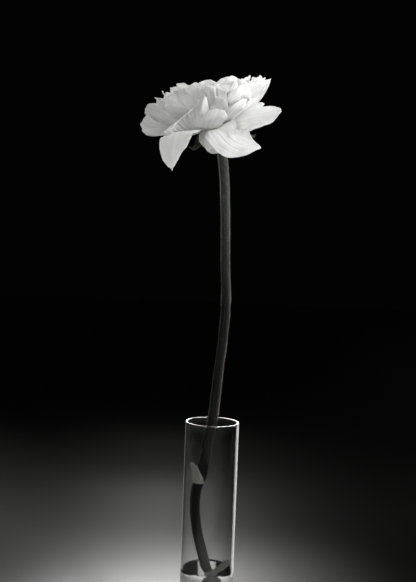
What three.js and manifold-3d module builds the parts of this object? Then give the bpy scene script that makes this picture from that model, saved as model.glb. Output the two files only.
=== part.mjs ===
// A white double ranunculus standing in a clear glass tube vase, with a little water in the foot of the vase.
// Millimetres, +Z up. The origin is the centre of the vase's flat foot.
import * as THREE from "three";
import { mergeVertices } from "three/addons/utils/BufferGeometryUtils.js";
import Module from "manifold-3d";

const wasm = await Module();
wasm.setup();

const { lerp, degToRad } = THREE.MathUtils;

// Vase: a straight tube with a thick foot.
const vase = { radius: 20, height: 180, wall: 1.5, foot: 8, chamfer: 1.5, sides: 56 };
const boreRadius = vase.radius - vase.wall;

// Touching pieces keep this gap.
const gap = 0.3;

const waterLevel = 68.5;

// Stem: points on its centre line from the cut end up, with its radius at each. It ends in the receptacle.
const stem = {
  sides: 12,
  steps: 64,
  route: [
    { at: [12.9, -4.1, 9.05], radius: 3.7 },
    { at: [8.5, -2, 34], radius: 3.8 },
    { at: [3.2, 1, 56], radius: 3.9 },
    { at: [-2.6, 3.5, 75], radius: 3.9 },
    { at: [-8.0, 5.5, 93.5], radius: 3.9 },
    { at: [-11.0, 7, 112], radius: 4.0 },
    { at: [-10.2, 8.2, 127], radius: 4.1 },
    { at: [-6.6, 9.8, 137], radius: 4.3 },
    { at: [-4.4, 11.4, 152], radius: 4.0 },
    { at: [-1.6, 13.4, 168], radius: 3.9 },
    { at: [0.4, 14.2, 180], radius: 3.8 },
    { at: [1.6, 14.6, 192], radius: 3.75 },
    { at: [3.4, 14.6, 215], radius: 3.65 },
    { at: [6.0, 13.8, 243], radius: 3.6 },
    { at: [7.0, 12.4, 268], radius: 3.6 },
    { at: [5.4, 10.8, 300], radius: 3.55 },
    { at: [4.0, 9.4, 335], radius: 3.55 },
    { at: [1.9, 8.4, 366], radius: 3.6 },
    { at: [-1.7, 8.2, 393], radius: 3.9 },
  ],
};

// Flower: where it sits on the stem, how it leans, and the block that its inner petals stand out of.
const flower = {
  at: [-2.9, 8, 396],
  leanLeft: 10,
  leanForward: 6,
  receptacle: { radius: 6.2, depth: 7 },
  core: [
    [0, gap],
    [6.2, gap],
    [8, 3.5],
    [15, 10],
    [27, 18],
    [31, 24],
    [27, 28.5],
    [12, 29.5],
    [6.6, 26],
    [5.6, 20],
    [0, 20],
  ],
  coreSides: 22,
};

const petalThickness = 0.75;

// Corners of the joined petals that move the surface less than this are dropped.
const fineness = 0.08;

// Guard petals, the large outer ones. Each has a spine in the flower's frame from root to tip, and the
// compass heading that its width is square to. Width, roll about the spine and cup, which is half the arc
// that the section bends through, are staged from root to tip. Angles are in degrees.
const guardPetals = [
  // Left, lower.
  {
    heading: 186,
    spine: [[-3, 0, 3], [-22, -3, 7], [-40, -7, 10.5], [-57.5, -9, 13.5]],
    width: [12, 30, 35, 34],
    roll: [-8, -22, -30, -34],
    cup: [24, 20, 12, 8],
    point: 0.1,
    sharpness: 2.6,
    ruffle: 1.1,
  },
  // Left, upper.
  {
    heading: 176,
    spine: [[-3, 0, 4], [-20, 1, 12], [-38, 1, 19.5], [-53, 1, 27]],
    width: [12, 28, 33, 31],
    roll: [-6, -22, -32, -36],
    cup: [24, 20, 14, 10],
    point: 0.2,
    ruffle: 1.3,
  },
  // Left front, stands out as a pleated fan.
  {
    heading: 250,
    spine: [[-4, -5, 3], [-19.9, -19.4, 6], [-24.8, -32, 13.2], [-23.9, -38.5, 12.9]],
    width: [9, 19, 35.2, 47.8],
    roll: [-5, 8, 20, 34],
    cup: [-4, -8, -14, -18],
    point: 0.27,
    sharpness: 1.9,
    ruffle: 0.5,
    across: 6,
  },
  // Left front, hangs from under the fan.
  {
    heading: 244,
    spine: [[-4, -4, 2.4], [-20.6, -16.8, 4.6], [-31.5, -29.6, 2.2], [-36, -32.3, -8.5], [-37.4, -32.3, -23.2]],
    width: [9, 18, 30.6, 29, 16],
    roll: [-8, -7, -2, 19, 43],
    cup: [10, 4, -14, -8, 12],
    point: 0.12,
    sharpness: 1.6,
    ruffle: 0.9,
    across: 6,
  },
  // Front, hanging, curled under.
  {
    heading: 264,
    spine: [[-1, -4, 2.6], [-3.4, -13, 1.4], [-4.8, -19, -3], [-4.8, -16.5, -9.5], [-4.2, -10, -14.2]],
    width: [10, 20, 28, 30, 28],
    roll: [0, 8, 24, 32, 34],
    cup: [-15, -25, -22, -14, -8],
    point: 0.2,
    ruffle: 0.8,
  },
  // Front right, low.
  {
    heading: 285,
    spine: [[0.8, -3, 2.8], [1.8, -18, 2.6], [5, -27, -0.6], [9.6, -31, -6.4], [17, -32, -11.6], [28, -31, -15.4]],
    width: [10, 22, 31, 32, 26, 14],
    roll: [-4, -3, 1, 6, 11, 16],
    cup: [-10, -20, -26, -20, -8, 12],
    point: 0.34,
    sharpness: 1.5,
    ruffle: 0.6,
    across: 6,
  },
  // Right, arching.
  {
    heading: 340,
    spine: [[3, -2, 3.5], [12, -11, 7.4], [22.8, -15, 9.2], [34.5, -15.5, 10.2], [47.4, -15, 10.4]],
    width: [12, 25, 29, 24, 15],
    roll: [10, 34, 42, 38, 32],
    cup: [-10, -22, -28, -28, -24],
    point: 0.16,
    sharpness: 2.4,
    ruffle: 0.5,
  },
  // Front, in the notch between the low one and the arching one.
  {
    heading: 290,
    spine: [[1, -4, 3], [3.8, -14, 6], [7, -25, 3.4], [11, -32.5, -4.5]],
    width: [8, 15, 16, 12],
    roll: [10, 23, 30, 30],
    cup: [-8, -12, -14, -10],
    point: 0.52,
    ruffle: 0.3,
  },
  // Front, standing.
  {
    heading: 268,
    spine: [[-1, -7, 3.4], [-5.4, -22, 4.8], [-1.8, -33, 8.6], [3, -38, 14.4]],
    width: [9, 16, 21, 19],
    roll: [0, 2, 10, 22],
    cup: [20, 20, 18, 12],
    point: 0.16,
    sharpness: 2.6,
    ruffle: 0.4,
  },
  // Left, between the upper one and the bowl.
  {
    heading: 214,
    spine: [[-5, -4, 8], [-18, -14, 11.5], [-30, -20, 17.5], [-39.5, -19.5, 23.5]],
    width: [12, 24, 28, 24],
    roll: [-6, -8, 2, 6],
    cup: [24, 22, 14, 6],
    point: 0.3,
    ruffle: 1.2,
  },
  // Round the back.
  {
    heading: 36,
    spine: [[3, 2, 3], [15, 11, 9], [28, 20, 17], [38, 27, 21]],
    width: [12, 28, 32, 24],
    roll: [0, 4, 8, 8],
    cup: [22, 18, 10, -8],
    point: 0.38,
    ruffle: 1.2,
  },
  {
    heading: 68,
    spine: [[1, 3, 3], [8, 19, 9], [15, 37, 8], [19, 49, -2]],
    width: [12, 28, 33, 24],
    roll: [0, 6, 10, 10],
    cup: [20, 14, 10, 16],
    point: 0.4,
    ruffle: 1.3,
  },
  {
    heading: 104,
    spine: [[-1, 3, 3], [-6, 21, 12], [-11, 40, 17], [-14, 54, 17]],
    width: [12, 28, 32, 25],
    roll: [0, -4, -6, -6],
    cup: [22, 18, 14, 8],
    point: 0.34,
    ruffle: 1.3,
  },
  {
    heading: 142,
    spine: [[-2, 2, 3], [-16, 13, 8], [-31, 25, 6], [-40, 33, -4]],
    width: [12, 27, 32, 23],
    roll: [0, -6, -8, -4],
    cup: [20, 14, 8, 12],
    point: 0.42,
    ruffle: 1.2,
  },
  {
    heading: 10,
    spine: [[3, 1, 3], [17, 4, 7], [30, 8, 8.5], [41, 11, 6]],
    width: [12, 24, 27, 22],
    roll: [0, 0, 4, 4],
    cup: [20, 14, 6, -8],
    point: 0.36,
    ruffle: 0.9,
  },
];

// Front petals of the bowl: they stand against it one by one, from the right round to the left.
const frontPetals = [
  // Long one up the right side.
  {
    heading: 318,
    spine: [[5, -4, 5], [18, -10, 15], [31, -9.5, 24.5], [43.5, -6.5, 34]],
    width: [10, 24, 28, 22],
    roll: [0, 8, 12, 8],
    cup: [20, 26, 26, 16],
    point: 0.5,
    ruffle: 0.7,
  },
  // Inside it.
  {
    heading: 306,
    spine: [[4, -6, 6], [14, -17, 15.5], [24, -19, 23.4], [35.5, -15.5, 31.5]],
    width: [10, 22, 26, 20],
    roll: [0, 10, 14, 10],
    cup: [20, 26, 26, 18],
    point: 0.42,
    ruffle: 0.9,
  },
  // Low on the right.
  {
    heading: 296,
    spine: [[2, -8, 6], [9, -24, 10], [15.5, -29.5, 14.4], [22.5, -28.5, 20]],
    width: [8, 15, 17, 14],
    roll: [0, 4, 6, 12],
    cup: [14, 18, 20, 16],
    point: 0.42,
    ruffle: 0.8,
  },
  // Right of the middle.
  {
    heading: 292,
    spine: [[3, -6, 8], [12, -24, 16], [19, -28, 23], [25.5, -25, 30]],
    width: [10, 18, 21, 18],
    roll: [0, 4, 8, 8],
    cup: [18, 22, 22, 16],
    point: 0.3,
    ruffle: 1.3,
  },
  // Middle, high.
  {
    heading: 282,
    spine: [[2, -8, 8], [7.5, -27, 17], [12, -31, 25.5], [16, -28.5, 33.4]],
    width: [10, 20, 24, 21],
    roll: [0, 0, 4, 6],
    cup: [18, 20, 20, 14],
    point: 0.24,
    ruffle: 1.5,
  },
  // Middle, high, folded in pleats.
  {
    heading: 268,
    spine: [[0, -8, 8], [-4.6, -29, 18.4], [-4.1, -36, 25.8], [-3.6, -41, 32.4]],
    width: [10, 20, 24, 23],
    roll: [0, -8, -10, -10],
    cup: [18, 20, 18, 10],
    point: 0.16,
    ruffle: 1.4,
  },
  // Middle, low, smooth and shaded.
  {
    heading: 264,
    spine: [[0, -8, 7], [-0.1, -27.4, 13.2], [0.6, -32.6, 19.6], [0.2, -36.4, 24]],
    width: [9, 15, 15, 16],
    roll: [0, -6, -10, -10],
    cup: [10, 10, 8, 6],
    point: 0.16,
    ruffle: 0.3,
  },
  // Two narrow bright ones beside it.
  {
    heading: 262,
    spine: [[-0.7, -8, 5.6], [-8, -30, 14.5], [-7.6, -35.5, 20], [-6.2, -36.8, 25.6]],
    width: [5, 9, 10, 8],
    roll: [0, 20, 34, 40],
    cup: [20, 26, 26, 20],
    point: 0.34,
    ruffle: 0.5,
  },
  {
    heading: 258,
    spine: [[-2, -8, 6.6], [-10, -29, 15.5], [-11, -33.5, 21], [-8.8, -35, 26]],
    width: [5, 9, 10, 8],
    roll: [0, 16, 26, 34],
    cup: [20, 26, 26, 20],
    point: 0.4,
    ruffle: 0.5,
  },
  // Left of the middle, tall, smooth and shaded.
  {
    heading: 258,
    spine: [[-2, -8, 8], [-13.6, -26.5, 18.6], [-15, -33, 27], [-14.5, -37.5, 34.4]],
    width: [9, 17, 19, 18],
    roll: [0, -20, -26, -26],
    cup: [10, 12, 10, 8],
    point: 0.14,
    ruffle: 0.5,
  },
  // Left, tall, pleated.
  {
    heading: 244,
    spine: [[-3, -8, 8], [-20, -26, 18], [-25.3, -29, 27], [-26.4, -26, 35]],
    width: [10, 22, 27, 25],
    roll: [0, 6, 8, 8],
    cup: [20, 20, 16, 10],
    point: 0.2,
    ruffle: 1.5,
  },
  // Left end.
  {
    heading: 222,
    spine: [[-4, -6, 8], [-24, -21, 18], [-31.5, -21.5, 26.5], [-35.5, -17, 33.4]],
    width: [10, 20, 23, 20],
    roll: [0, 4, 6, 6],
    cup: [20, 20, 16, 10],
    point: 0.28,
    ruffle: 1.3,
  },
  {
    heading: 216,
    spine: [[-5, -5, 8], [-22, -20, 15], [-32.5, -20.5, 22.5], [-40, -16.5, 28.5]],
    width: [9, 17, 19, 16],
    roll: [0, 8, 10, 10],
    cup: [20, 18, 14, 8],
    point: 0.36,
    ruffle: 0.9,
  },
  {
    heading: 202,
    spine: [[-5, -4, 8], [-23, -13, 18], [-36, -13, 26], [-44.5, -9, 32]],
    width: [9, 18, 21, 17],
    roll: [0, 2, 4, 4],
    cup: [20, 18, 14, 8],
    point: 0.44,
    ruffle: 1.2,
  },
];

// Bowl petals: a row round the back, a row all round, then a spiral that closes in on the eye. Radius, height
// and width are those of a petal's end, and root has the radius and height of its root, for the first and
// the last petal of the run. The rows dip to the front and stand back there by the inset.
const bowlRows = [
  {
    count: 6,
    first: 8,
    turn: 32,
    across: 4,
    along: 5,
    radius: [45, 45],
    height: [33, 33],
    dip: 6,
    inset: 0,
    root: [[8, 10], [8, 10]],
    width: [33, 33],
    hollow: 5,
    twist: -9,
  },
  {
    count: 12,
    first: 336,
    turn: -30,
    across: 3,
    along: 4,
    radius: [39.5, 39.5],
    height: [37.5, 37.5],
    dip: 4,
    inset: 6,
    root: [[18, 14], [18, 14]],
    width: [28, 28],
    hollow: 4,
    twist: -9,
  },
  {
    count: 32,
    first: 20,
    turn: 137.5,
    across: 3,
    along: 3,
    radius: [34.5, 8.2],
    height: [40, 36],
    dip: 1.5,
    inset: 3,
    root: [[18, 18], [7.2, 22]],
    width: [26, 12],
    hollow: 3,
    twist: 0,
  },
];

// Sepals hang under the petals.
const sepals = {
  width: [5, 7, 8, 7, 6],
  cup: [40, 44, 50, 50],
  thickness: 0.8,
  each: [
    { heading: 190, reach: [2.6, 10, 17, 21.5, 24.5], height: [-2.2, -3, -7, -9.4, -6.6] },
    { heading: 258, reach: [2.6, 5, 7.5, 8.5, 9], height: [-2.2, -2.8, -4.6, -6.2, -7.6] },
    { heading: 316, reach: [2.6, 7, 10, 11.5, 13], height: [-2.2, -3.4, -6.5, -9.5, -12] },
    { heading: 19, reach: [2.6, 9, 16, 22, 28], height: [-2.2, -2.4, -4, -5, -4.6] },
    { heading: 106, reach: [2.6, 9, 15, 19, 21], height: [-2.2, -3, -6, -10, -15] },
  ],
};

// Seed head: a small ovoid of beaked seeds in the eye of the flower.
const seedHead = { radius: 4.6, height: 8.5, rows: 8, around: 14, relief: 0.55, seat: 20 + gap };

// Leaf bases that clasp the stem: the upper one at the stem's knuckle, the lower one at the water.
const leafBases = [
  {
    name: "leaf_base_upper",
    heading: 222,
    spine: [[-12.5, 5.4, 132], [-12.3, 5.1, 136.5], [-12.9, 3.9, 142.5], [-14.05, 2.4, 148]],
    width: [19.0, 13.6, 10, 8],
    cup: [100, 66, 26, 8],
  },
  {
    name: "leaf_base_lower",
    heading: 300,
    spine: [[5.3, -3.4, 57], [5.3, -3.7, 62], [8.4, -3.8, 67.5], [13, -3.2, 72.5], [17.5, -2.6, 77]],
    width: [18.2, 12.4, 9, 7.5, 6],
    cup: [100, 66, 30, 14, 6],
  },
];
const leafBaseThickness = 0.8;

// The same draw each time for the same two numbers, from 0 to 1.
function draw(seed, which) {
  const wave = Math.sin(seed * 12.9898 + which * 78.233) * 43758.5453;
  return wave - Math.floor(wave);
}

// A value read from evenly spaced stages, with s from 0 to 1.
function staged(values, s) {
  const place = Math.min(Math.max(s, 0), 1) * (values.length - 1);
  const first = Math.min(Math.floor(place), values.length - 2);
  return lerp(values[first], values[first + 1], place - first);
}

const vector = (point) => new THREE.Vector3(...point);

// The blade's sideways and inward directions at s, square to its spine.
function sectionOf(blade, s) {
  const along = blade.curve.getTangentAt(s);
  const heading = degToRad(blade.heading);
  const aside = new THREE.Vector3(-Math.sin(heading), Math.cos(heading), 0);
  aside.addScaledVector(along, -aside.dot(along)).normalize();
  const roll = degToRad(staged(blade.roll, s));
  aside.applyAxisAngle(along, roll);
  return { aside, inward: along.cross(aside) };
}

// A point on a blade's middle surface. u runs from -1 to 1 across and s from 0 at the root to 1 at the tip.
function bladePoint(blade, u, s) {
  const reach = s * (1 - blade.point * Math.abs(u) ** blade.sharpness);
  const { aside, inward } = sectionOf(blade, reach);
  const half = staged(blade.width, reach) / 2;
  const bend = degToRad(staged(blade.cup, reach)) || 1e-4;
  const edge = Math.sin(6.283 * blade.waves * reach + blade.phase + 1.3 * Math.sign(u));
  const tip = Math.sin(5 * u + blade.phase);
  const ripple = blade.ruffle * (reach ** 2 * u * u * edge + 0.7 * reach ** 4 * tip);
  return blade.curve
    .getPointAt(reach)
    .addScaledVector(aside, (half * Math.sin(bend * u)) / bend)
    .addScaledVector(inward, (half * (1 - Math.cos(bend * u))) / bend + ripple);
}

// A closed thin blade as a solid. Both faces are split along the same diagonals.
function bladeSolid(blade, across, along, thickness) {
  const positions = [];
  const step = 0.02;
  for (const side of [1, -1]) {
    for (let j = 0; j <= along; j++) {
      for (let i = 0; i <= across; i++) {
        const u = (2 * i) / across - 1;
        const s = j / along;
        const middle = bladePoint(blade, u, s);
        const overU = bladePoint(blade, Math.min(u + step, 1), s).sub(
          bladePoint(blade, Math.max(u - step, -1), s),
        );
        const overS = bladePoint(blade, u, Math.min(s + step, 1)).sub(
          bladePoint(blade, u, Math.max(s - step, 0)),
        );
        const normal = overS.cross(overU).normalize();
        middle.addScaledVector(normal, (side * thickness) / 2);
        positions.push(middle.x, middle.y, middle.z);
      }
    }
  }
  const at = (face, i, j) => (face * (along + 1) + j) * (across + 1) + i;
  const triangles = [];
  const quad = (a, b, c, d) => triangles.push(a, b, c, a, c, d);
  for (let j = 0; j < along; j++) {
    for (let i = 0; i < across; i++) {
      quad(at(0, i, j), at(0, i, j + 1), at(0, i + 1, j + 1), at(0, i + 1, j));
      const [a, b, c, d] = [at(1, i, j), at(1, i, j + 1), at(1, i + 1, j + 1), at(1, i + 1, j)];
      triangles.push(a, c, b, a, d, c);
    }
  }
  for (let j = 0; j < along; j++) {
    quad(at(0, 0, j), at(1, 0, j), at(1, 0, j + 1), at(0, 0, j + 1));
    quad(at(0, across, j + 1), at(1, across, j + 1), at(1, across, j), at(0, across, j));
  }
  for (let i = 0; i < across; i++) {
    quad(at(0, i + 1, 0), at(1, i + 1, 0), at(1, i, 0), at(0, i, 0));
    quad(at(0, i, along), at(1, i, along), at(1, i + 1, along), at(0, i + 1, along));
  }
  return solidFrom(positions, triangles);
}

function solidFrom(positions, triangles) {
  const geometry = new THREE.BufferGeometry();
  geometry.setAttribute("position", new THREE.Float32BufferAttribute(positions, 3));
  geometry.setIndex(triangles);
  return solidOf(geometry);
}

// The solid that a closed geometry bounds.
function solidOf(geometry) {
  geometry.deleteAttribute("normal");
  geometry.deleteAttribute("uv");
  const merged = mergeVertices(geometry, 1e-4);
  return new wasm.Manifold(
    new wasm.Mesh({
      numProp: 3,
      vertProperties: merged.attributes.position.array,
      triVerts: new Uint32Array(merged.index.array),
    }),
  );
}

// The outer skin of a union, without the pockets that crossing petals shut in.
function outerBody(solid) {
  return solid.decompose().reduce((best, body) => (body.volume() > best.volume() ? body : best));
}

// A solid turned about Z from a profile of [radius, height] that starts and ends on the axis.
function turned(profile, sides) {
  const points = profile.map(([radius, height]) => new THREE.Vector2(radius, height));
  return solidOf(new THREE.LatheGeometry(points, sides).rotateX(Math.PI / 2));
}

// The stem's tube, grown by extra all round.
function stemTube(extra = 0) {
  const { route, sides, steps } = stem;
  const curve = new THREE.CatmullRomCurve3(route.map(({ at }) => vector(at)));
  const radii = route.map(({ radius }) => radius);
  const positions = [];
  for (let j = 0; j <= steps; j++) {
    const t = j / steps;
    const along = curve.getTangent(t);
    const across = new THREE.Vector3(1, 0, 0).addScaledVector(along, -along.x).normalize();
    const square = new THREE.Vector3().crossVectors(along, across);
    const centre = curve.getPoint(t).addScaledVector(along, j === 0 ? -extra : j === steps ? extra : 0);
    const radius = staged(radii, t) + extra;
    for (let i = 0; i < sides; i++) {
      const angle = (i / sides) * 2 * Math.PI;
      const place = centre
        .clone()
        .addScaledVector(across, radius * Math.cos(angle))
        .addScaledVector(square, radius * Math.sin(angle));
      positions.push(place.x, place.y, place.z);
    }
  }
  const triangles = [];
  for (let i = 0; i < sides; i++) {
    const next = (i + 1) % sides;
    for (let j = 0; j < steps; j++) {
      const [a, b] = [j * sides + i, j * sides + next];
      triangles.push(a, b, b + sides, a, b + sides, a + sides);
    }
  }
  const last = steps * sides;
  for (let i = 1; i + 1 < sides; i++) triangles.push(0, i + 1, i, last, last + i, last + i + 1);
  return solidFrom(positions, triangles);
}

// A named mesh from a solid.
function meshOf(name, solid, material) {
  const shape = solid.getMesh();
  const geometry = new THREE.BufferGeometry();
  geometry.setAttribute("position", new THREE.BufferAttribute(new Float32Array(shape.vertProperties), 3));
  geometry.setIndex(new THREE.BufferAttribute(new Uint32Array(shape.triVerts), 1));
  geometry.computeVertexNormals();
  const mesh = new THREE.Mesh(geometry, material);
  mesh.name = name;
  return mesh;
}

// The flower's own frame, leaning to the left and forward. The petals and the seed head are modelled in it.
const bloom = new THREE.Group();
bloom.rotation.set(degToRad(flower.leanForward), degToRad(-flower.leanLeft), 0);
bloom.position.set(...flower.at);
bloom.updateMatrix();

function vaseSolid() {
  const { radius, height, foot, chamfer } = vase;
  const lip = vase.wall / 4;
  return turned(
    [
      [0, 0],
      [radius - chamfer, 0],
      [radius, chamfer],
      [radius, height - lip],
      [radius - lip, height],
      [boreRadius + lip, height],
      [boreRadius, height - lip],
      [boreRadius, foot + chamfer],
      [boreRadius - chamfer, foot],
      [0, foot],
    ],
    vase.sides,
  );
}

// The stem with its receptacle and sepals, all one green growth.
function stemSolid() {
  const { receptacle } = flower;
  const cup = turned(
    [
      [0, -receptacle.depth],
      [3.9, -receptacle.depth],
      [4.4, -0.55 * receptacle.depth],
      [receptacle.radius, -1.2],
      [receptacle.radius, 0],
      [0, 0],
    ],
    16,
  );
  const leaves = sepals.each.map(({ heading, reach, height }) => {
    const angle = degToRad(heading);
    const spine = reach.map((radius, i) => [radius * Math.cos(angle), radius * Math.sin(angle), height[i]]);
    const shape = { heading, spine, width: sepals.width, cup: sepals.cup, point: 0.5, ruffle: 0 };
    return bladeSolid(bladeOf(shape), 4, 6, sepals.thickness);
  });
  return wasm.Manifold.union([cup, ...leaves]).transform(bloom.matrix.toArray()).add(stemTube());
}

// A blade in full: its spine as a curve, and what its description leaves out.
function bladeOf(shape, seed = 0) {
  return {
    roll: [0, 0],
    sharpness: 2.4 - 1.6 * shape.point,
    waves: 1.2 + draw(seed, 1),
    phase: 6.283 * draw(seed, 2),
    ...shape,
    curve: new THREE.CatmullRomCurve3(shape.spine.map(vector)),
  };
}

// Petal k of a bowl row: it leaves the core, bellies out and ends on the bowl's crown.
function bowlPetal(row, k) {
  const t = k / (row.count - 1);
  const seed = 100 * row.count + k;
  const heading = row.first + row.turn * k + 12 * (draw(seed, 11) - 0.5);
  const angle = degToRad(heading);
  const outward = (radius, height) => [radius * Math.cos(angle), radius * Math.sin(angle), height];
  const front = Math.max(0, -Math.sin(angle)) ** 1.5;
  const toFront = row.dip * front;
  const inset = (0.5 * row.dip + row.inset * (1 - t)) * front;
  const radius = lerp(...row.radius, t) - inset + 1.6 * (draw(seed, 12) - 0.5);
  const height = lerp(...row.height, t) - toFront + 2.4 * (draw(seed, 13) - 0.5);
  const root = [lerp(row.root[0][0], row.root[1][0], t), lerp(row.root[0][1], row.root[1][1], t)];
  const along = (part, lift) =>
    outward(lerp(root[0], radius, part), lerp(root[1], height, part) - lift * row.hollow);
  const width = lerp(...row.width, t);
  const wrap = THREE.MathUtils.radToDeg(width / 2 / radius);
  return bladeOf(
    {
      heading,
      spine: [outward(...root), along(0.36, 1), along(0.72, 0.9), outward(radius, height)],
      width: [0.5 * width, 0.85 * width, width, 0.9 * width],
      roll: [row.twist, row.twist + 6 * (draw(seed, 16) - 0.5)],
      cup: [Math.min(50, 1.1 * wrap), Math.min(50, wrap)],
      point: 0.26,
      ruffle: 1.4 * (0.6 + 0.8 * draw(seed, 17)),
    },
    seed,
  );
}

function petalsSolid() {
  const guards = guardPetals.map((petal, i) =>
    bladeSolid(bladeOf(petal, i + 1), petal.across ?? 5, 6, petalThickness),
  );
  const fronts = frontPetals.map((petal, i) => bladeSolid(bladeOf(petal, i + 31), 4, 4, petalThickness));
  const inner = bowlRows.flatMap((row) =>
    Array.from({ length: row.count }, (_, k) =>
      bladeSolid(bowlPetal(row, k), row.across, row.along, petalThickness),
    ),
  );
  const core = turned(flower.core, flower.coreSides);
  const joined = wasm.Manifold.union([core, ...guards, ...fronts, ...inner]).asOriginal();
  return outerBody(joined.simplify(fineness));
}

// An egg-shaped head whose surface is raised over each seed.
function seedHeadSolid() {
  const profile = Array.from({ length: seedHead.rows + 1 }, (_, j) => {
    const angle = (j / seedHead.rows) * (Math.PI / 2);
    return [seedHead.radius * Math.cos(angle) ** 0.8, seedHead.seat + seedHead.height * Math.sin(angle)];
  });
  profile[seedHead.rows][0] = 0;
  profile.unshift([0, seedHead.seat]);
  const solid = turned(profile, 2 * seedHead.around).warp((place) => {
    const radius = Math.hypot(place[0], place[1]);
    const row = (place[2] - seedHead.seat) / seedHead.height;
    if (radius < 0.1 || row < 0.02) return;
    const angle = Math.atan2(place[1], place[0]);
    const bump = 1 + (seedHead.relief * Math.cos(seedHead.around * angle + 9.4 * row)) / seedHead.radius;
    place[0] *= bump;
    place[1] *= bump;
  });
  return solid;
}

// A leaf base that clasps the stem and leans out to the glass, grown by extra all round.
function leafBaseSolid(base, extra = 0) {
  const [root, next] = base.spine.map(vector);
  root.addScaledVector(next.clone().sub(root).normalize(), -extra);
  const shape = {
    ...base,
    spine: [root.toArray(), ...base.spine.slice(1)],
    width: base.width.map((width) => width + 2 * extra),
    cup: base.cup.map((cup, i) => cup * (1 + (2 * extra) / base.width[i])),
    point: 0.12,
    ruffle: 0.3,
  };
  return bladeSolid(bladeOf(shape), 8, 7, leafBaseThickness + 2 * extra);
}

// Water with plain holes where the stem and the lower leaf base stand in it.
function waterSolid() {
  const body = turned(
    [
      [0, vase.foot + gap],
      [boreRadius - vase.chamfer - gap, vase.foot + gap],
      [boreRadius - gap, vase.foot + vase.chamfer + gap],
      [boreRadius - gap, waterLevel],
      [0, waterLevel],
    ],
    vase.sides,
  );
  const stemHole = stemTube(1.3 * gap);
  const leafHole = leafBaseSolid(leafBases[1], 2.5 * gap);
  return body.subtract(stemHole).subtract(leafHole);
}

const materials = {
  glass: new THREE.MeshStandardMaterial({
    color: 0xe6ecec,
    roughness: 0.04,
    transparent: true,
    opacity: 0.3,
  }),
  water: new THREE.MeshStandardMaterial({
    color: 0xdfe7e6,
    roughness: 0.02,
    transparent: true,
    opacity: 0.35,
  }),
  stem: new THREE.MeshStandardMaterial({ color: 0x59624e, roughness: 0.6 }),
  petal: new THREE.MeshStandardMaterial({ color: 0xf4f2ec, roughness: 0.65 }),
  seeds: new THREE.MeshStandardMaterial({ color: 0x6d7350, roughness: 0.6 }),
  leafBase: new THREE.MeshStandardMaterial({ color: 0xb9bba6, roughness: 0.6 }),
};

bloom.add(
  meshOf("petals", petalsSolid(), materials.petal),
  meshOf("seed_head", seedHeadSolid(), materials.seeds),
);

const ranunculus = new THREE.Group();
ranunculus.add(
  meshOf("vase", vaseSolid(), materials.glass),
  meshOf("water", waterSolid(), materials.water),
  meshOf("stem", stemSolid(), materials.stem),
  ...leafBases.map((base) => meshOf(base.name, leafBaseSolid(base), materials.leafBase)),
  bloom,
);

export default ranunculus;
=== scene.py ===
# White double ranunculus in a clear glass tube vase, dressed over the CAD frame. Metres, +Z up.
import math

import bpy
import numpy as np
from mathutils import Matrix, Vector


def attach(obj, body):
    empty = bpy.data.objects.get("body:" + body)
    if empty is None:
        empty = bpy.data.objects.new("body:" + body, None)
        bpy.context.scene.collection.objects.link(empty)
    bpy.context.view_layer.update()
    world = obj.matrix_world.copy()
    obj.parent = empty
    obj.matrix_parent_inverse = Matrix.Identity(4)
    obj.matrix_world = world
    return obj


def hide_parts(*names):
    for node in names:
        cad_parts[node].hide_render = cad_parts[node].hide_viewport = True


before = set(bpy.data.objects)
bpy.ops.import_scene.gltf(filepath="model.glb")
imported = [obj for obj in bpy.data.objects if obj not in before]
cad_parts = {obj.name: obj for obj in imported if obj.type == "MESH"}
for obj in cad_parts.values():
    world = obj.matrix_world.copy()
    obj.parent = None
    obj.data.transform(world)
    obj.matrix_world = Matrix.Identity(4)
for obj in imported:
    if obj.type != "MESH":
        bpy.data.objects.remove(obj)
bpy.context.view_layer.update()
scene = bpy.context.scene
mm = 0.001
fullTurn, halfTurn = 6.283, 3.142  # radians, close enough for the phase of a wave
print("frame loaded:", sorted(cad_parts))


def linearColour(hexCode):
    # sRGB hex to the linear values that the shaders take
    shares = [int(hexCode[i : i + 2], 16) / 255 for i in (1, 3, 5)]
    return (*[c / 12.92 if c <= 0.04045 else ((c + 0.055) / 1.055) ** 2.4 for c in shares], 1.0)


def dress(node, values):
    # an input is a value, set on the socket itself, or another node's socket to link
    for name, value in values.items():
        if isinstance(value, bpy.types.NodeSocket):
            node.id_data.links.new(value, node.inputs[name])
        else:
            node.inputs[name].default_value = value


def addNode(tree, kind, output, inputs, **settings):
    # one node with its settings, values and links; gives the output that the next one takes
    node = tree.nodes.new(kind)
    for name, value in settings.items():
        setattr(node, name, value)
    dress(node, inputs)
    return node.outputs[output]


def newMaterial(name):
    material = bpy.data.materials.new(name)
    material.use_nodes = True
    tree = material.node_tree
    return material, tree, tree.nodes["Principled BSDF"]


def draw(seed, which):
    # from 0 to 1, the same each time for the same two numbers; which keeps the draws apart
    wave = np.sin(seed * 12.9898 + which * 78.233) * 43758.5453
    return wave - np.floor(wave)


def wander(seed, which, x):
    # a smooth uneven wave along x, from about -1 to 1
    total = 0
    for k, (pitch, share) in enumerate(((1.0, 0.5), (2.3, 0.3), (4.7, 0.2))):
        total = total + share * np.sin(pitch * x + fullTurn * draw(seed, which + 7 * k))
    return total


def staged(values, s):
    # a value read from evenly spaced stages, with s from 0 to 1
    return np.interp(np.clip(s, 0, 1) * (len(values) - 1), range(len(values)), values)


def unit(vectors):
    return vectors / np.maximum(np.linalg.norm(vectors, axis=-1, keepdims=True), 1e-12)


def smoothStep(low, high, x):
    t = np.clip((x - low) / (high - low), 0, 1)
    return t * t * (3 - 2 * t)


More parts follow.
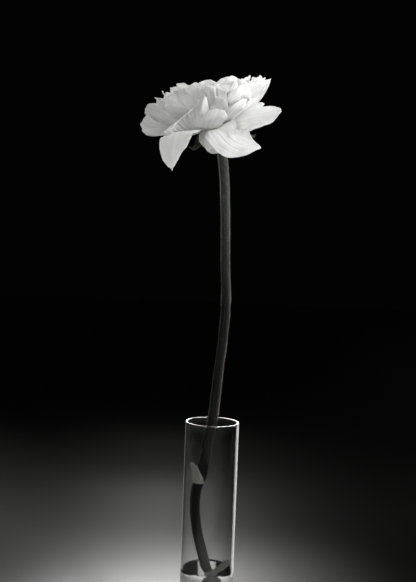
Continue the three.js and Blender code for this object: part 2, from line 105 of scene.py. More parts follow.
def curveSegment(p0, p1, p2, p3, t):
    # centripetal spline from p1 to p2
    steps = [max(np.sum((b - a) ** 2) ** 0.25, 1e-6) for a, b in ((p0, p1), (p1, p2), (p2, p3))]
    d0, d1, d2 = steps
    out = ((p1 - p0) / d0 - (p2 - p0) / (d0 + d1) + (p2 - p1) / d1) * d1
    into = ((p2 - p1) / d1 - (p3 - p1) / (d1 + d2) + (p3 - p2) / d2) * d1
    t = t[:, None]
    square, cube = 3 * (p2 - p1) - 2 * out - into, 2 * (p1 - p2) + out + into
    return p1 + out * t + square * t**2 + cube * t**3


def curveTable(points, perSpan=60):
    # dense points on the curve through points, its slope at each, and the length up to each
    points = np.array(points, float)
    ends = np.vstack([2 * points[0] - points[1], points, 2 * points[-1] - points[-2]])
    t = np.linspace(0, 1, perSpan, endpoint=False)
    spans = [curveSegment(*ends[i : i + 4], t) for i in range(len(points) - 1)]
    dense = np.vstack(spans + [points[-1:]])
    run = np.concatenate([[0], np.cumsum(np.linalg.norm(np.diff(dense, axis=0), axis=1))])
    return {"dense": dense, "slope": unit(np.gradient(dense, axis=0)), "run": run}


def pickAlong(table, at, places):
    # points and directions of a curve, at the places where its dense points are said to lie
    dense, slope = (
        np.stack([np.interp(places, at, table[name][:, k]) for k in range(3)], -1)
        for name in ("dense", "slope")
    )
    return dense, unit(slope)


# Meshes are worked out as points, quads and triangles, and a place on the petal for the veins.
def gridFaces(rows, columns, closed=False):
    # quads of a grid of rows x columns points
    wide = np.arange(columns if closed else columns - 1)
    j, i = np.meshgrid(np.arange(rows - 1), wide, indexing="ij")
    here, above, beside = j * columns, (j + 1) * columns, (i + 1) % columns
    return np.stack([here + i, above + i, above + beside, here + beside], -1).reshape(-1, 4)


def thinSheet(middle, thickness, place):
    # closed thin skin round a grid of middle points, with its edges sewn
    rows, columns, _ = middle.shape
    normal = unit(np.cross(np.gradient(middle, axis=0), np.gradient(middle, axis=1)))
    offset = normal * np.broadcast_to(thickness, (rows, columns))[..., None] / 2
    points = np.concatenate([(middle + offset).reshape(-1, 3), (middle - offset).reshape(-1, 3)])
    count = rows * columns
    front = gridFaces(rows, columns)
    back = front[:, [0, 3, 2, 1]] + count
    ring = [(0, i) for i in range(columns - 1)]
    ring += [(j, columns - 1) for j in range(rows - 1)]
    ring += [(rows - 1, i) for i in range(columns - 1, 0, -1)]
    ring += [(j, 0) for j in range(rows - 1, 0, -1)]
    edge = np.array([j * columns + i for j, i in ring])
    follow = np.roll(edge, -1)
    sides = np.stack([edge, follow, follow + count, edge + count], -1)
    places = np.concatenate([place.reshape(-1, 2)] * 2)
    return {"points": points, "quads": np.concatenate([front, back, sides]), "place": places}


def closedTube(rows, start, end):
    # rings of points, one after the other, closed by a fan round the start and the end
    count, sides = rows.shape[:2]
    i = np.arange(sides)
    follow = (i + 1) % sides
    first, lastRow = count * sides, (count - 1) * sides
    startFan = np.stack([np.full(sides, first), follow, i], -1)
    endFan = np.stack([np.full(sides, first + 1), lastRow + i, lastRow + follow], -1)
    return {
        "points": np.vstack([rows.reshape(-1, 3), [start], [end]]),
        "quads": gridFaces(count, sides, closed=True)[:, [0, 3, 2, 1]],
        "tris": np.concatenate([startFan, endFan]),
    }


def evenAngles(sides):
    return np.arange(sides) / sides * 2 * math.pi


def turnedShape(profile, sides):
    # solid turned about Z from [radius, height] points that start and end on the axis
    profile = np.array(profile, float)
    angle = evenAngles(sides)
    radius, height = profile[1:-1, :1], np.repeat(profile[1:-1, 1:], sides, 1)
    rows = np.stack([radius * np.cos(angle), radius * np.sin(angle), height], -1)
    return closedTube(rows, [0, 0, profile[0, 1]], [0, 0, profile[-1, 1]])


def ringsRound(centre, across, square, reach, sides):
    # rings of points round a path, at their reach from it
    angle = evenAngles(sides)[:, None]
    out = across[:, None] * np.cos(angle) + square[:, None] * np.sin(angle)
    return centre[:, None] + reach[..., None] * out


def makePiece(name, shapes, material, replaced):
    # one object from one or more shapes, riding on the frame in place of the CAD node
    starts = np.cumsum([0] + [len(shape["points"]) for shape in shapes])
    points = np.concatenate([shape["points"] for shape in shapes]).astype(np.float32)
    faces = []
    for kind, count in (("quads", 4), ("tris", 3)):
        found = [shape[kind] + start for shape, start in zip(shapes, starts) if kind in shape]
        faces.append(np.concatenate([np.zeros((0, count), int)] + found))
    corners = np.concatenate([face.ravel() for face in faces]).astype(np.int32)
    sizes = np.repeat([4, 3], [len(face) for face in faces])
    loopStarts = np.concatenate([[0], np.cumsum(sizes)[:-1]]).astype(np.int32)
    mesh = bpy.data.meshes.new(name)
    mesh.vertices.add(len(points))
    mesh.vertices.foreach_set("co", points.ravel())
    mesh.loops.add(len(corners))
    mesh.loops.foreach_set("vertex_index", corners)
    mesh.polygons.add(len(sizes))
    mesh.polygons.foreach_set("loop_start", loopStarts)
    mesh.update(calc_edges=True)
    places = [shape["place"] for shape in shapes if "place" in shape]
    if places:
        layer = mesh.uv_layers.new(name="petalMap")
        spots = np.concatenate(places)[corners].astype(np.float32)
        layer.uv.foreach_set("vector", spots.ravel())
    mesh.shade_smooth()
    mesh.materials.append(material)
    piece = bpy.data.objects.new(name, mesh)
    scene.collection.objects.link(piece)
    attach(piece, "root")
    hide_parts(replaced)


# Camera at the photograph's viewing angle.
cameraSettings = {
    "place": (-7.0, -604.0, 293.0),  # mm
    "down": 1.44,  # degrees
    "roll": 2.19,
    "sensor": 36,  # mm along the frame's long side
    "focal": 808 / 582 * 36,
    "clip": (0.01, 50),  # m
}


def makeCamera(settings):
    down, roll = math.radians(settings["down"]), math.radians(settings["roll"])
    forward = Vector((0, math.cos(down), -math.sin(down)))
    up = Vector((0, math.sin(down), math.cos(down)))
    right = Vector((1, 0, 0))
    across = right * math.cos(roll) + up * math.sin(roll)
    upright = up * math.cos(roll) - right * math.sin(roll)
    camera = bpy.data.objects.new("photoCamera", bpy.data.cameras.new("photoCamera"))
    camera.data.sensor_width = settings["sensor"]
    camera.data.lens = settings["focal"]
    camera.data.clip_start, camera.data.clip_end = settings["clip"]
    turn = Matrix((across, upright, -forward)).transposed().to_4x4()
    turn.translation = Vector(settings["place"]) * mm
    camera.matrix_world = turn
    scene.collection.objects.link(camera)
    scene.camera = camera


makeCamera(cameraSettings)


# Materials. A mix node takes its share on input 0 and its colours on 6 and 7, and it gives the
# mixed colour on output 2.


def veinPattern(tree, place, look):
    # veins that run along the blade: noise drawn out along it, two veins to a cell of it, with
    # its contrast raised
    drawnOut = {"Vector": place, "Scale": (1.0, look["veinStretch"], 1.0)}
    stretched = addNode(tree, "ShaderNodeMapping", "Vector", drawnOut)
    streaks = addNode(
        tree, "ShaderNodeTexNoise", "Fac",
        {
            "Vector": stretched, "Scale": 0.5 / look["veinSpacing"],
            "Detail": look["veinDetail"], "Roughness": look["veinRoughness"],
        },
    )
    low, high = look["veinContrast"]
    contrast = {"Value": streaks, "From Min": low, "From Max": high}
    return addNode(tree, "ShaderNodeMapRange", "Result", contrast)


# Ranunculus petal, a living sheet a few cells thick: soft satin, a little light comes through, and
# fine veins fan from the root, closer together than a millimetre, with shallow wrinkles.
petalLook = {
    "white": "#F1F1EF",
    "vein": "#CFCFCC",
    "root": "#DCDDD0",
    "rootFade": (2 * mm, 15 * mm),  # from the root
    "veinSpacing": 0.9 * mm,  # at the petal's widest place
    "veinStretch": 0.06,
    "veinDetail": 3.0,
    "veinRoughness": 0.55,
    "veinContrast": (0.32, 0.68),
    "veinDepth": 0.1 * mm,
    "wrinkleSize": 3.2 * mm,
    "wrinkleStretch": 0.45,
    "wrinkleDepth": 0.35 * mm,
    "cellSize": 0.5 * mm,  # the real cells are 0.05 mm; drawn coarse enough to show
    "cellDepth": 0.06 * mm,
    "blotch": 9 * mm,
}


def petalMaterial(name, look):
    material, tree, shader = newMaterial(name)
    place = addNode(tree, "ShaderNodeUVMap", "UV", {}, uv_map="petalMap")
    body = addNode(tree, "ShaderNodeTexCoord", "Object", {})
    veins = veinPattern(tree, place, look)
    cells = addNode(
        tree, "ShaderNodeTexNoise", "Fac",
        {"Vector": body, "Scale": 1 / look["cellSize"], "Detail": 3.0, "Roughness": 0.6},
    )
    blotches = addNode(
        tree, "ShaderNodeTexNoise", "Fac",
        {"Vector": body, "Scale": 1 / look["blotch"], "Detail": 3.0},
    )
    # the veins darken the white a little, unevenly over the petal
    unevenly = addNode(
        tree, "ShaderNodeMath", "Value", {0: veins, 1: blotches}, operation="MULTIPLY"
    )
    white = addNode(
        tree, "ShaderNodeMix", 2,
        {0: unevenly, 6: linearColour(look["white"]), 7: linearColour(look["vein"])},
        data_type="RGBA",
    )
    fromRoot = addNode(tree, "ShaderNodeSeparateXYZ", "Y", {"Vector": place})
    start, end = look["rootFade"]
    nearRoot = addNode(
        tree, "ShaderNodeMapRange", "Result",
        {"Value": fromRoot, "From Min": start, "From Max": end, "To Min": 1.0, "To Max": 0.0},
    )
    colour = addNode(
        tree, "ShaderNodeMix", 2,
        {0: nearRoot, 6: white, 7: linearColour(look["root"])},
        data_type="RGBA",
    )
    veinBump = addNode(
        tree, "ShaderNodeBump", "Normal",
        {"Height": veins, "Strength": 0.8, "Distance": look["veinDepth"]},
    )
    longish = {"Vector": place, "Scale": (1.0, look["wrinkleStretch"], 1.0)}
    wrinkles = addNode(
        tree, "ShaderNodeTexNoise", "Fac",
        {
            "Vector": addNode(tree, "ShaderNodeMapping", "Vector", longish),
            "Scale": 1 / look["wrinkleSize"], "Detail": 2.0, "Roughness": 0.5,
        },
    )
    wrinkleBump = addNode(
        tree, "ShaderNodeBump", "Normal",
        {
            "Height": wrinkles, "Strength": 0.8,
            "Distance": look["wrinkleDepth"], "Normal": veinBump,
        },
    )
    cellBump = addNode(
        tree, "ShaderNodeBump", "Normal",
        {"Height": cells, "Strength": 0.35, "Distance": look["cellDepth"], "Normal": wrinkleBump},
    )
    dress(
        shader,
        {
            "Base Color": colour,
            "Normal": cellBump,
            "Roughness": 0.58,
            "IOR": 1.42,
            "Specular IOR Level": 0.35,
            "Subsurface Weight": 0.55,
            "Subsurface Radius": (1.0, 0.98, 0.95),
            "Subsurface Scale": 0.9 * mm,
            "Sheen Weight": 0.05,
        },
    )
    return material


# Green stem under a fine down: dull, mottled along its length, and its hairs catch light at the
# edges. Toward the foot its colour is painted darker, as shade, and its sheen is turned down there.
greenLook = {
    "dark": "#1A1C18",
    "light": "#363932",
    # painted shade: the dark colour that the stem is darkened toward at the foot
    "foot": "#040403",
    "footPaintedShade": 0.9,
    "footFade": (350 * mm, 265 * mm),  # above the vase's foot
    "mottleWide": 0.9 * mm,
    "mottleLong": 3.5 * mm,
    "mottleDepth": 0.15 * mm,
    "speck": 0.45 * mm,
    "speckDepth": 0.08 * mm,
    "sheen": 0.9,
    "sheenAtFoot": 0.12,  # share of it that is left there
    "sheenTint": "#E4E6DE",
}


def greenMaterial(name, look):
    material, tree, shader = newMaterial(name)
    body = addNode(tree, "ShaderNodeTexCoord", "Object", {})
    lengthwise = (1.0, 1.0, look["mottleWide"] / look["mottleLong"])
    mottle = addNode(
        tree, "ShaderNodeTexNoise", "Fac",
        {
            "Vector": addNode(
                tree, "ShaderNodeMapping", "Vector", {"Vector": body, "Scale": lengthwise}
            ),
            "Scale": 1 / look["mottleWide"], "Detail": 4.0, "Roughness": 0.6,
        },
    )
    specks = addNode(
        tree, "ShaderNodeTexVoronoi", "Distance",
        {"Vector": body, "Scale": 1 / look["speck"], "Randomness": 1.0},
    )
    contrast = {"Value": mottle, "From Min": 0.36, "From Max": 0.66}
    spread = addNode(tree, "ShaderNodeMapRange", "Result", contrast)
    green = addNode(
        tree, "ShaderNodeMix", 2,
        {0: spread, 6: linearColour(look["dark"]), 7: linearColour(look["light"])},
        data_type="RGBA",
    )
    first = addNode(
        tree, "ShaderNodeBump", "Normal",
        {"Height": mottle, "Strength": 0.7, "Distance": look["mottleDepth"]},
    )
    second = addNode(
        tree, "ShaderNodeBump", "Normal",
        {"Height": specks, "Strength": 0.5, "Distance": look["speckDepth"], "Normal": first},
    )
    # painted shade: from the top of footFade down, the colour darkens toward the foot colour and
    # the sheen falls with it
    height = addNode(tree, "ShaderNodeSeparateXYZ", "Z", {"Vector": body})
    top, bottom = look["footFade"]
    paintedFootShade = addNode(
        tree, "ShaderNodeMapRange", "Result",
        {"Value": height, "From Min": top, "From Max": bottom, "To Max": look["footPaintedShade"]},
    )
    colour = addNode(
        tree, "ShaderNodeMix", 2,
        {0: paintedFootShade, 6: green, 7: linearColour(look["foot"])},
        data_type="RGBA",
    )
    footSheen = look["sheenAtFoot"] * look["sheen"]
    downy = addNode(
        tree, "ShaderNodeMapRange", "Result",
        {"Value": paintedFootShade, "To Min": look["sheen"], "To Max": footSheen},
    )
    dress(
        shader,
        {
            "Base Color": colour,
            "Normal": second,
            "Roughness": 0.62,
            "Specular IOR Level": 0.2,
            "Sheen Weight": downy,
            "Sheen Roughness": 0.27,
            "Sheen Tint": linearColour(look["sheenTint"]),
        },
    )
    return material


# Plant down: fine colourless hairs that look pale against the green.
downLook = {"pale": "#C6C9BE", "bright": "#E2E4DC", "patch": 3 * mm}


def downMaterial(name, look):
    material, tree, shader = newMaterial(name)
    patches = addNode(
        tree, "ShaderNodeTexNoise", "Fac",
        {
            "Vector": addNode(tree, "ShaderNodeTexCoord", "Object", {}),
            "Scale": 1 / look["patch"], "Detail": 2.0,
        },
    )
    colour = addNode(
        tree, "ShaderNodeMix", 2,
        {0: patches, 6: linearColour(look["pale"]), 7: linearColour(look["bright"])},
        data_type="RGBA",
    )
    dress(
        shader,
        {
            "Base Color": colour,
            "Roughness": 0.5,
            "Subsurface Weight": 0.2,
            "Subsurface Scale": 0.1 * mm,
        },
    )
    return material


# Leaf sheath, dry and papery: pale, with veins along it, brown flecks and a thin torn edge.
sheathLook = {
    "pale": "#E0E0DB",
    "shade": "#C4C4BD",
    "fleck": "#77725F",
    "fleckSize": 2.4 * mm,
    "veinSpacing": 0.8 * mm,
    "veinStretch": 0.07,
    "veinDetail": 2.0,
    "veinRoughness": 0.5,
    "veinContrast": (0.35, 0.68),
    "veinDepth": 0.08 * mm,
}


def sheathMaterial(name, look):
    material, tree, shader = newMaterial(name)
    place = addNode(tree, "ShaderNodeUVMap", "UV", {}, uv_map="petalMap")
    body = addNode(tree, "ShaderNodeTexCoord", "Object", {})
    veins = veinPattern(tree, place, look)
    patches = addNode(
        tree, "ShaderNodeTexNoise", "Fac",
        {"Vector": body, "Scale": 1 / look["fleckSize"], "Detail": 5.0, "Roughness": 0.65},
    )
    contrast = {"Value": patches, "From Min": 0.62, "From Max": 0.72}
    flecks = addNode(tree, "ShaderNodeMapRange", "Result", contrast)
    pale = addNode(
        tree, "ShaderNodeMix", 2,
        {0: veins, 6: linearColour(look["pale"]), 7: linearColour(look["shade"])},
        data_type="RGBA",
    )
    colour = addNode(
        tree, "ShaderNodeMix", 2,
        {0: flecks, 6: pale, 7: linearColour(look["fleck"])},
        data_type="RGBA",
    )
    bump = addNode(
        tree, "ShaderNodeBump", "Normal",
        {"Height": veins, "Strength": 0.5, "Distance": look["veinDepth"]},
    )
    dress(
        shader,
        {
            "Base Color": colour,
            "Normal": bump,
            "Roughness": 0.55,
            "Subsurface Weight": 0.4,
            "Subsurface Radius": (1.0, 0.95, 0.8),
            "Subsurface Scale": 0.6 * mm,
        },
    )
    return material


# Soda-lime glass, drawn as a tube and fire-polished at the rim: clear, faintly uneven along it.
glassLook = {
    "tint": "#F9FAF9",
    "ior": 1.52,
    "unevenness": 24 * mm,
    "stretch": 0.25,
    "strength": 0.25,
    "depth": 0.4 * mm,
}

# Tap water: clear and still, with the least ripple on it.
waterLook = {
    "tint": "#F8F9F8",
    "ior": 1.333,
    "unevenness": 9 * mm,
    "stretch": 1.0,
    "strength": 0.2,
    "depth": 0.3 * mm,
}


def clearMaterial(name, look):
    # glass or water: it differs in tint, in how it bends light and in how its surface swells
    material, tree, shader = newMaterial(name)
    body = addNode(tree, "ShaderNodeTexCoord", "Object", {})
    drawn = {"Vector": body, "Scale": (1.0, 1.0, look["stretch"])}
    swell = addNode(
        tree, "ShaderNodeTexNoise", "Fac",
        {
            "Vector": addNode(tree, "ShaderNodeMapping", "Vector", drawn),
            "Scale": 1 / look["unevenness"], "Detail": 1.0,
        },
    )
    bump = addNode(
        tree, "ShaderNodeBump", "Normal",
        {"Height": swell, "Strength": look["strength"], "Distance": look["depth"]},
    )
    dress(
        shader,
        {
            "Base Color": linearColour(look["tint"]),
            "Normal": bump,
            "Roughness": 0.0,
            "IOR": look["ior"],
            "Transmission Weight": 1.0,
        },
    )
    return material


petalSkin = petalMaterial("ranunculus petal, white", petalLook)
stemSkin = greenMaterial("green stem, downy", greenLook)
sepalLook = {**greenLook, "dark": "#2D3029", "light": "#5A5F52"}
sepalSkin = greenMaterial("sepal, silky green", sepalLook)
seedLook = {**greenLook, "dark": "#4F5A33", "light": "#7E8A58", "sheen": 0.2}
seedSkin = greenMaterial("unripe seeds, green", seedLook)
hairSkin = downMaterial("plant down", downLook)
sheathSkin = sheathMaterial("leaf sheath, papery", sheathLook)
glassSkin = clearMaterial("soda-lime glass, fire-polished", glassLook)
waterSkin = clearMaterial("tap water", waterLook)
print("materials made")

# The flower's own frame: where it sits on the stem in mm, and how it leans in degrees.
flower = {"at": (-2.9, 8.0, 396.0), "leanLeft": 10, "leanForward": 6}


def bloomTurn(settings):
    left, front = math.radians(-settings["leanLeft"]), math.radians(settings["leanForward"])
    turn = Matrix.Rotation(front, 4, "X") @ Matrix.Rotation(left, 4, "Y")
    turn.translation = Vector(settings["at"])
    return np.array(turn)


bloomMatrix = bloomTurn(flower)


def inBloom(points):
    # from the flower's own frame in mm to the row frame in metres
    return (points @ bloomMatrix[:3, :3].T + bloomMatrix[:3, 3]) * mm


# A blade is a petal, sepal or leaf: a spine, and along it stages of width, roll (degrees about the
# spine), cup (degrees that its halves bend in). Point and sharpness shape its end.
def bladeOf(shape, seed):
    # a blade in full: what its description leaves out, and its spine as a curve
    blade = {
        "roll": [0, 0],
        "sharpness": 2.4 - 1.6 * shape["point"],
        "waves": 1.2 + draw(seed, 1),
        "phase": fullTurn * draw(seed, 2),
        "seed": seed + 1,
        **shape,
    }
    blade["curve"] = curveTable(blade["spine"])
    return blade


petalFinish = {
    "thick": 0.42,  # mm at the middle, thinning to the margin
    "thin": 0.16,
    "pleatPitch": 3.4,  # mm from one pleat to the next
    "pleat": 0.09,  # and how deep they are
    "steady": 0.5,  # 1 where all pleats are alike
    "bendPleat": 0.0,  # how much deeper at a bend, and where that lies along the blade
    "bendAt": 0.5,
    "bendSpread": 0.2,
    "frill": 0.35,  # the margin's waves, mm
    "frillPitch": 7.0,
    "lip": -0.45,  # mm that the rim turns down, or up below 0
    "uneven": 1.0,
}


def bladeSurface(blade, u, s, ragged):
    # the smooth bent blade, u across it from -1 to 1 and s along it from 0 to 1, in mm
    seed = blade["seed"]
    reach = s * (1 - blade["point"] * np.abs(u) ** blade["sharpness"])
    reach = reach * (1 + ragged * 0.012 * (wander(seed, 41, 7 * u) - 0.6) * s**5)
    curve = blade["curve"]
    spot, along3 = pickAlong(curve, curve["run"], reach * curve["run"][-1])
    heading = math.radians(blade["heading"])
    aside = np.array([-math.sin(heading), math.cos(heading), 0.0])
    aside = unit(aside - along3 * (along3 @ aside)[..., None])
    roll = np.radians(staged(blade["roll"], reach))[..., None]
    square = np.cross(along3, aside)
    aside, inward = (
        aside * np.cos(roll) + square * np.sin(roll),
        square * np.cos(roll) - aside * np.sin(roll),
    )
    half = staged(blade["width"], reach) / 2
    half = half * (1 + ragged * 0.03 * wander(seed, 47, 8 * s) * np.abs(u) ** 4)
    bend = np.radians(staged(blade["cup"], reach))
    bend = np.where(np.abs(bend) < 1e-4, 1e-4, bend)
    edge = np.sin(fullTurn * blade["waves"] * reach + blade["phase"] + 1.3 * np.sign(u))
    tip = np.sin(5 * u + blade["phase"])
    ripple = blade["ruffle"] * (reach**2 * u * u * edge + 0.7 * reach**4 * tip)
    return (
        spot
        + aside * (half * np.sin(bend * u) / bend)[..., None]
        + inward * (half * (1 - np.cos(bend * u)) / bend + ripple)[..., None]
    )


def bladeGrid(blade, across, along, finish):
    # the blade's middle surface with its fine relief, as a grid of points in mm
    seed, width, length = blade["seed"], max(blade["width"]), blade["curve"]["run"][-1]
    u = np.linspace(-1, 1, across + 1)[None, :]
    s = np.linspace(0, 1, along + 1)[:, None]
    middle = bladeSurface(blade, u, s, finish["uneven"])
    normal = unit(np.cross(np.gradient(middle, axis=0), np.gradient(middle, axis=1)))
    margin = 1 - (1 - np.abs(u) ** 7) * (1 - s**9)
    # creased pleats, with a finer comb of waves between them
    pleats = width / finish["pleatPitch"]
    drift = 0.8 * wander(seed, 61, 5 * s)
    crease = np.abs(np.sin(0.5 * math.pi * pleats * u + halfTurn * draw(seed, 62) + 0.5 * drift))
    fine = np.sin(1.73 * math.pi * pleats * u + fullTurn * draw(seed, 63) - 1.4 * drift)
    comb = 0.6 * (1 - 2 * crease) + 0.4 * fine
    comb = comb * np.clip(finish["steady"] + 0.9 * wander(seed, 64, 3.1 * u + 4 * s), 0.1, 1.2)
    nearBend = np.exp(-(((s - finish["bendAt"]) / finish["bendSpread"]) ** 2))
    depth = (finish["pleat"] + finish["bendPleat"] * nearBend) * smoothStep(0.02, 0.3, s)
    # frills run round the margin
    round3 = np.arctan2(u * width / 2, (s - 0.45) * length)
    turns = (2 * length + width) / finish["frillPitch"] / 5.2
    frill = np.sin(
        turns * round3 * fullTurn / 1.2
        + fullTurn * draw(seed, 71)
        + 1.2 * wander(seed, 72, 4 * round3)
    )
    frill = frill * (0.55 + 0.45 * wander(seed, 73, 3 * round3)) * margin
    frill = frill * smoothStep(0.25, 0.7, s)
    rim = finish["lip"] * margin**3 * smoothStep(0.3, 0.8, s)
    relief = comb * depth + frill * finish["frill"] - rim
    middle = middle + normal * relief[..., None]
    thinning = (finish["thin"] - finish["thick"]) * np.clip(margin * 1.1, 0, 1)
    place = np.stack(np.broadcast_arrays(u * width / 2, s * length), -1) * mm
    return middle, finish["thick"] + thinning, place


def petalShape(blade, across, along, **changes):
    finish = {**petalFinish, **changes}
    middle, thickness, place = bladeGrid(blade, across, along, finish)
    sheet = thinSheet(middle, thickness, place + np.array([draw(blade["seed"], 81), 0]) * 0.5)
    sheet["points"] = inBloom(sheet["points"])
    return sheet


# Guard petals, the large outer ones. Their shapes are the CAD's own, but for a few millimetres on
# guardFrontLow and guardRightBack.
guardPetals = [
    {  # left, lower
        "name": "guardLeftLow", "heading": 186,
        "spine": [[-3, 0, 3], [-22, -3, 7], [-40, -7, 10.5], [-57.5, -9, 13.5]],
        "width": [12, 30, 35, 34], "roll": [-8, -22, -30, -34], "cup": [24, 20, 12, 8],
        "point": 0.1, "sharpness": 2.6, "ruffle": 1.1,
    },
    {  # left, upper
        "name": "guardLeftHigh", "heading": 176,
        "spine": [[-3, 0, 4], [-20, 1, 12], [-38, 1, 19.5], [-53, 1, 27]],
        "width": [12, 28, 33, 31], "roll": [-6, -22, -32, -36], "cup": [24, 20, 14, 10],
        "point": 0.2, "ruffle": 1.3,
    },
    {  # left front, stands out as a pleated fan
        "name": "guardFan", "heading": 250,
        "spine": [[-4, -5, 3], [-19.9, -19.4, 6], [-24.8, -32, 13.2], [-23.9, -38.5, 12.9]],
        "width": [9, 19, 35.2, 47.8], "roll": [-5, 8, 20, 34], "cup": [-4, -8, -14, -18],
        "point": 0.27, "sharpness": 1.9, "ruffle": 0.5,
        "finish": {
            "steady": 0.9, "bendPleat": 0.5, "bendAt": 0.6, "bendSpread": 0.4, "pleatPitch": 4.4,
        },
    },
    {  # left front, hangs from under the fan
        "name": "guardHanging", "heading": 244,
        "spine": [
            [-4, -4, 2.4], [-20.6, -16.8, 4.6], [-31.5, -29.6, 2.2], [-36, -32.3, -8.5],
            [-37.4, -32.3, -23.2],
        ],
        "width": [9, 18, 30.6, 29, 16], "roll": [-8, -7, -2, 19, 43], "cup": [10, 4, -14, -8, 12],
        "point": 0.12, "sharpness": 1.6, "ruffle": 0.9,
        "finish": {"bendPleat": 0.2, "bendAt": 0.5, "bendSpread": 0.16},
    },
    {  # front, hanging, curled under
        "name": "guardFrontLow", "heading": 250,
        "spine": [
            [-1, -4, 2.6], [-3.7, -14.2, 3.4], [-4.1, -19.3, -2.4], [-2.9, -17.4, -10.2],
            [-3.3, -11.4, -13.7],
        ],
        "width": [10, 20.8, 25.4, 22, 21.7], "roll": [-10, -10, -5, -4, -14],
        "cup": [-15, -25, -22, -14, -8],
        "point": 0.22, "ruffle": 0.8,
    },
    {  # front right, low
        "name": "guardFrontRight", "heading": 285,
        "spine": [
            [0.8, -3, 2.8], [1.8, -18, 2.6], [5, -27, -0.6], [9.6, -31, -6.4], [17, -32, -11.6],
            [28, -31, -15.4],
        ],
        "width": [10, 22, 31, 32, 26, 14], "roll": [-4, -3, 1, 6, 11, 16],
        "cup": [-10, -20, -26, -20, -8, 12],
        "point": 0.34, "sharpness": 1.5, "ruffle": 0.6,
        "finish": {
            "steady": 0.8, "bendPleat": 0.5, "bendAt": 0.4, "bendSpread": 0.25, "pleatPitch": 4.0,
        },
    },
    {  # right, arching
        "name": "guardRight", "heading": 340,
        "spine": [
            [3, -2, 3.5], [12, -11, 7.4], [22.8, -15, 9.2], [34.5, -15.5, 10.2], [47.4, -15, 10.4],
        ],
        "width": [12, 25, 29, 24, 15], "roll": [10, 34, 42, 38, 32],
        "cup": [-10, -22, -28, -28, -24],
        "point": 0.16, "sharpness": 2.4, "ruffle": 0.5,
        "finish": {"bendPleat": 0.06, "bendAt": 0.6, "bendSpread": 0.3},
    },
    {  # front, in the notch between the low one and the arching one
        "name": "guardNotch", "heading": 290,
        "spine": [[1, -4, 3], [3.8, -14, 6], [7, -25, 3.4], [11, -32.5, -4.5]],
        "width": [8, 15, 16, 12], "roll": [10, 23, 30, 30], "cup": [-8, -12, -14, -10],
        "point": 0.52, "ruffle": 0.3,
    },
    {  # front, standing
        "name": "guardFrontHigh", "heading": 268,
        "spine": [[-1, -7, 3.4], [-5.4, -22, 4.8], [-1.8, -33, 8.6], [3, -38, 14.4]],
        "width": [9, 16, 21, 19], "roll": [0, 2, 10, 22], "cup": [20, 20, 18, 12],
        "point": 0.16, "sharpness": 2.6, "ruffle": 0.4,
    },
    {  # left, between the upper one and the bowl
        "name": "guardLeftInner", "heading": 214,
        "spine": [[-5, -4, 8], [-18, -14, 11.5], [-30, -20, 17.5], [-39.5, -19.5, 23.5]],
        "width": [12, 24, 28, 24], "roll": [-6, -8, 2, 6], "cup": [24, 22, 14, 6],
        "point": 0.3, "ruffle": 1.2,
        "finish": {"steady": 0.8, "pleat": 0.4, "pleatPitch": 4.0},
    },
    {  # round the back
        "name": "guardBackRight", "heading": 36,
        "spine": [[3, 2, 3], [15, 11, 9], [28, 20, 17], [38, 27, 21]],
        "width": [12, 28, 32, 24], "roll": [0, 4, 8, 8], "cup": [22, 18, 10, -8],
        "point": 0.38, "ruffle": 1.2,
    },
    {
        "name": "guardBackLow", "heading": 68,
        "spine": [[1, 3, 3], [8, 19, 9], [15, 37, 8], [19, 49, -2]],
        "width": [12, 28, 33, 24], "roll": [0, 6, 10, 10], "cup": [20, 14, 10, 16],
        "point": 0.4, "ruffle": 1.3,
        "finish": {"bendPleat": 0.18, "bendAt": 0.7, "bendSpread": 0.15},
    },
    {
        "name": "guardBack", "heading": 104,
        "spine": [[-1, 3, 3], [-6, 21, 12], [-11, 40, 17], [-14, 54, 17]],
        "width": [12, 28, 32, 25], "roll": [0, -4, -6, -6], "cup": [22, 18, 14, 8],
        "point": 0.34, "ruffle": 1.3,
    },
    {
        "name": "guardBackLeft", "heading": 142,
        "spine": [[-2, 2, 3], [-16, 13, 8], [-31, 25, 6], [-40, 33, -4]],
        "width": [12, 27, 32, 23], "roll": [0, -6, -8, -4], "cup": [20, 14, 8, 12],
        "point": 0.42, "ruffle": 1.2,
        "finish": {"bendPleat": 0.18, "bendAt": 0.7, "bendSpread": 0.15},
    },
    {
        "name": "guardRightBack", "heading": 10,
        "spine": [[3, 1, 3], [17, 4, 6], [28, 8, 6.6], [36, 11, 5.2]],
        "width": [12, 24, 27, 22], "roll": [0, 0, 4, 4], "cup": [20, 14, 6, -8],
        "point": 0.36, "ruffle": 0.9,
    },
]
guardGrid = (72, 64)

for number, petal in enumerate(guardPetals):
    sheet = petalShape(bladeOf(petal, number + 1), *guardGrid, **petal.get("finish", {}))
    makePiece(petal["name"], [sheet], petalSkin, "petals")
print("guard petals made:", len(guardPetals))

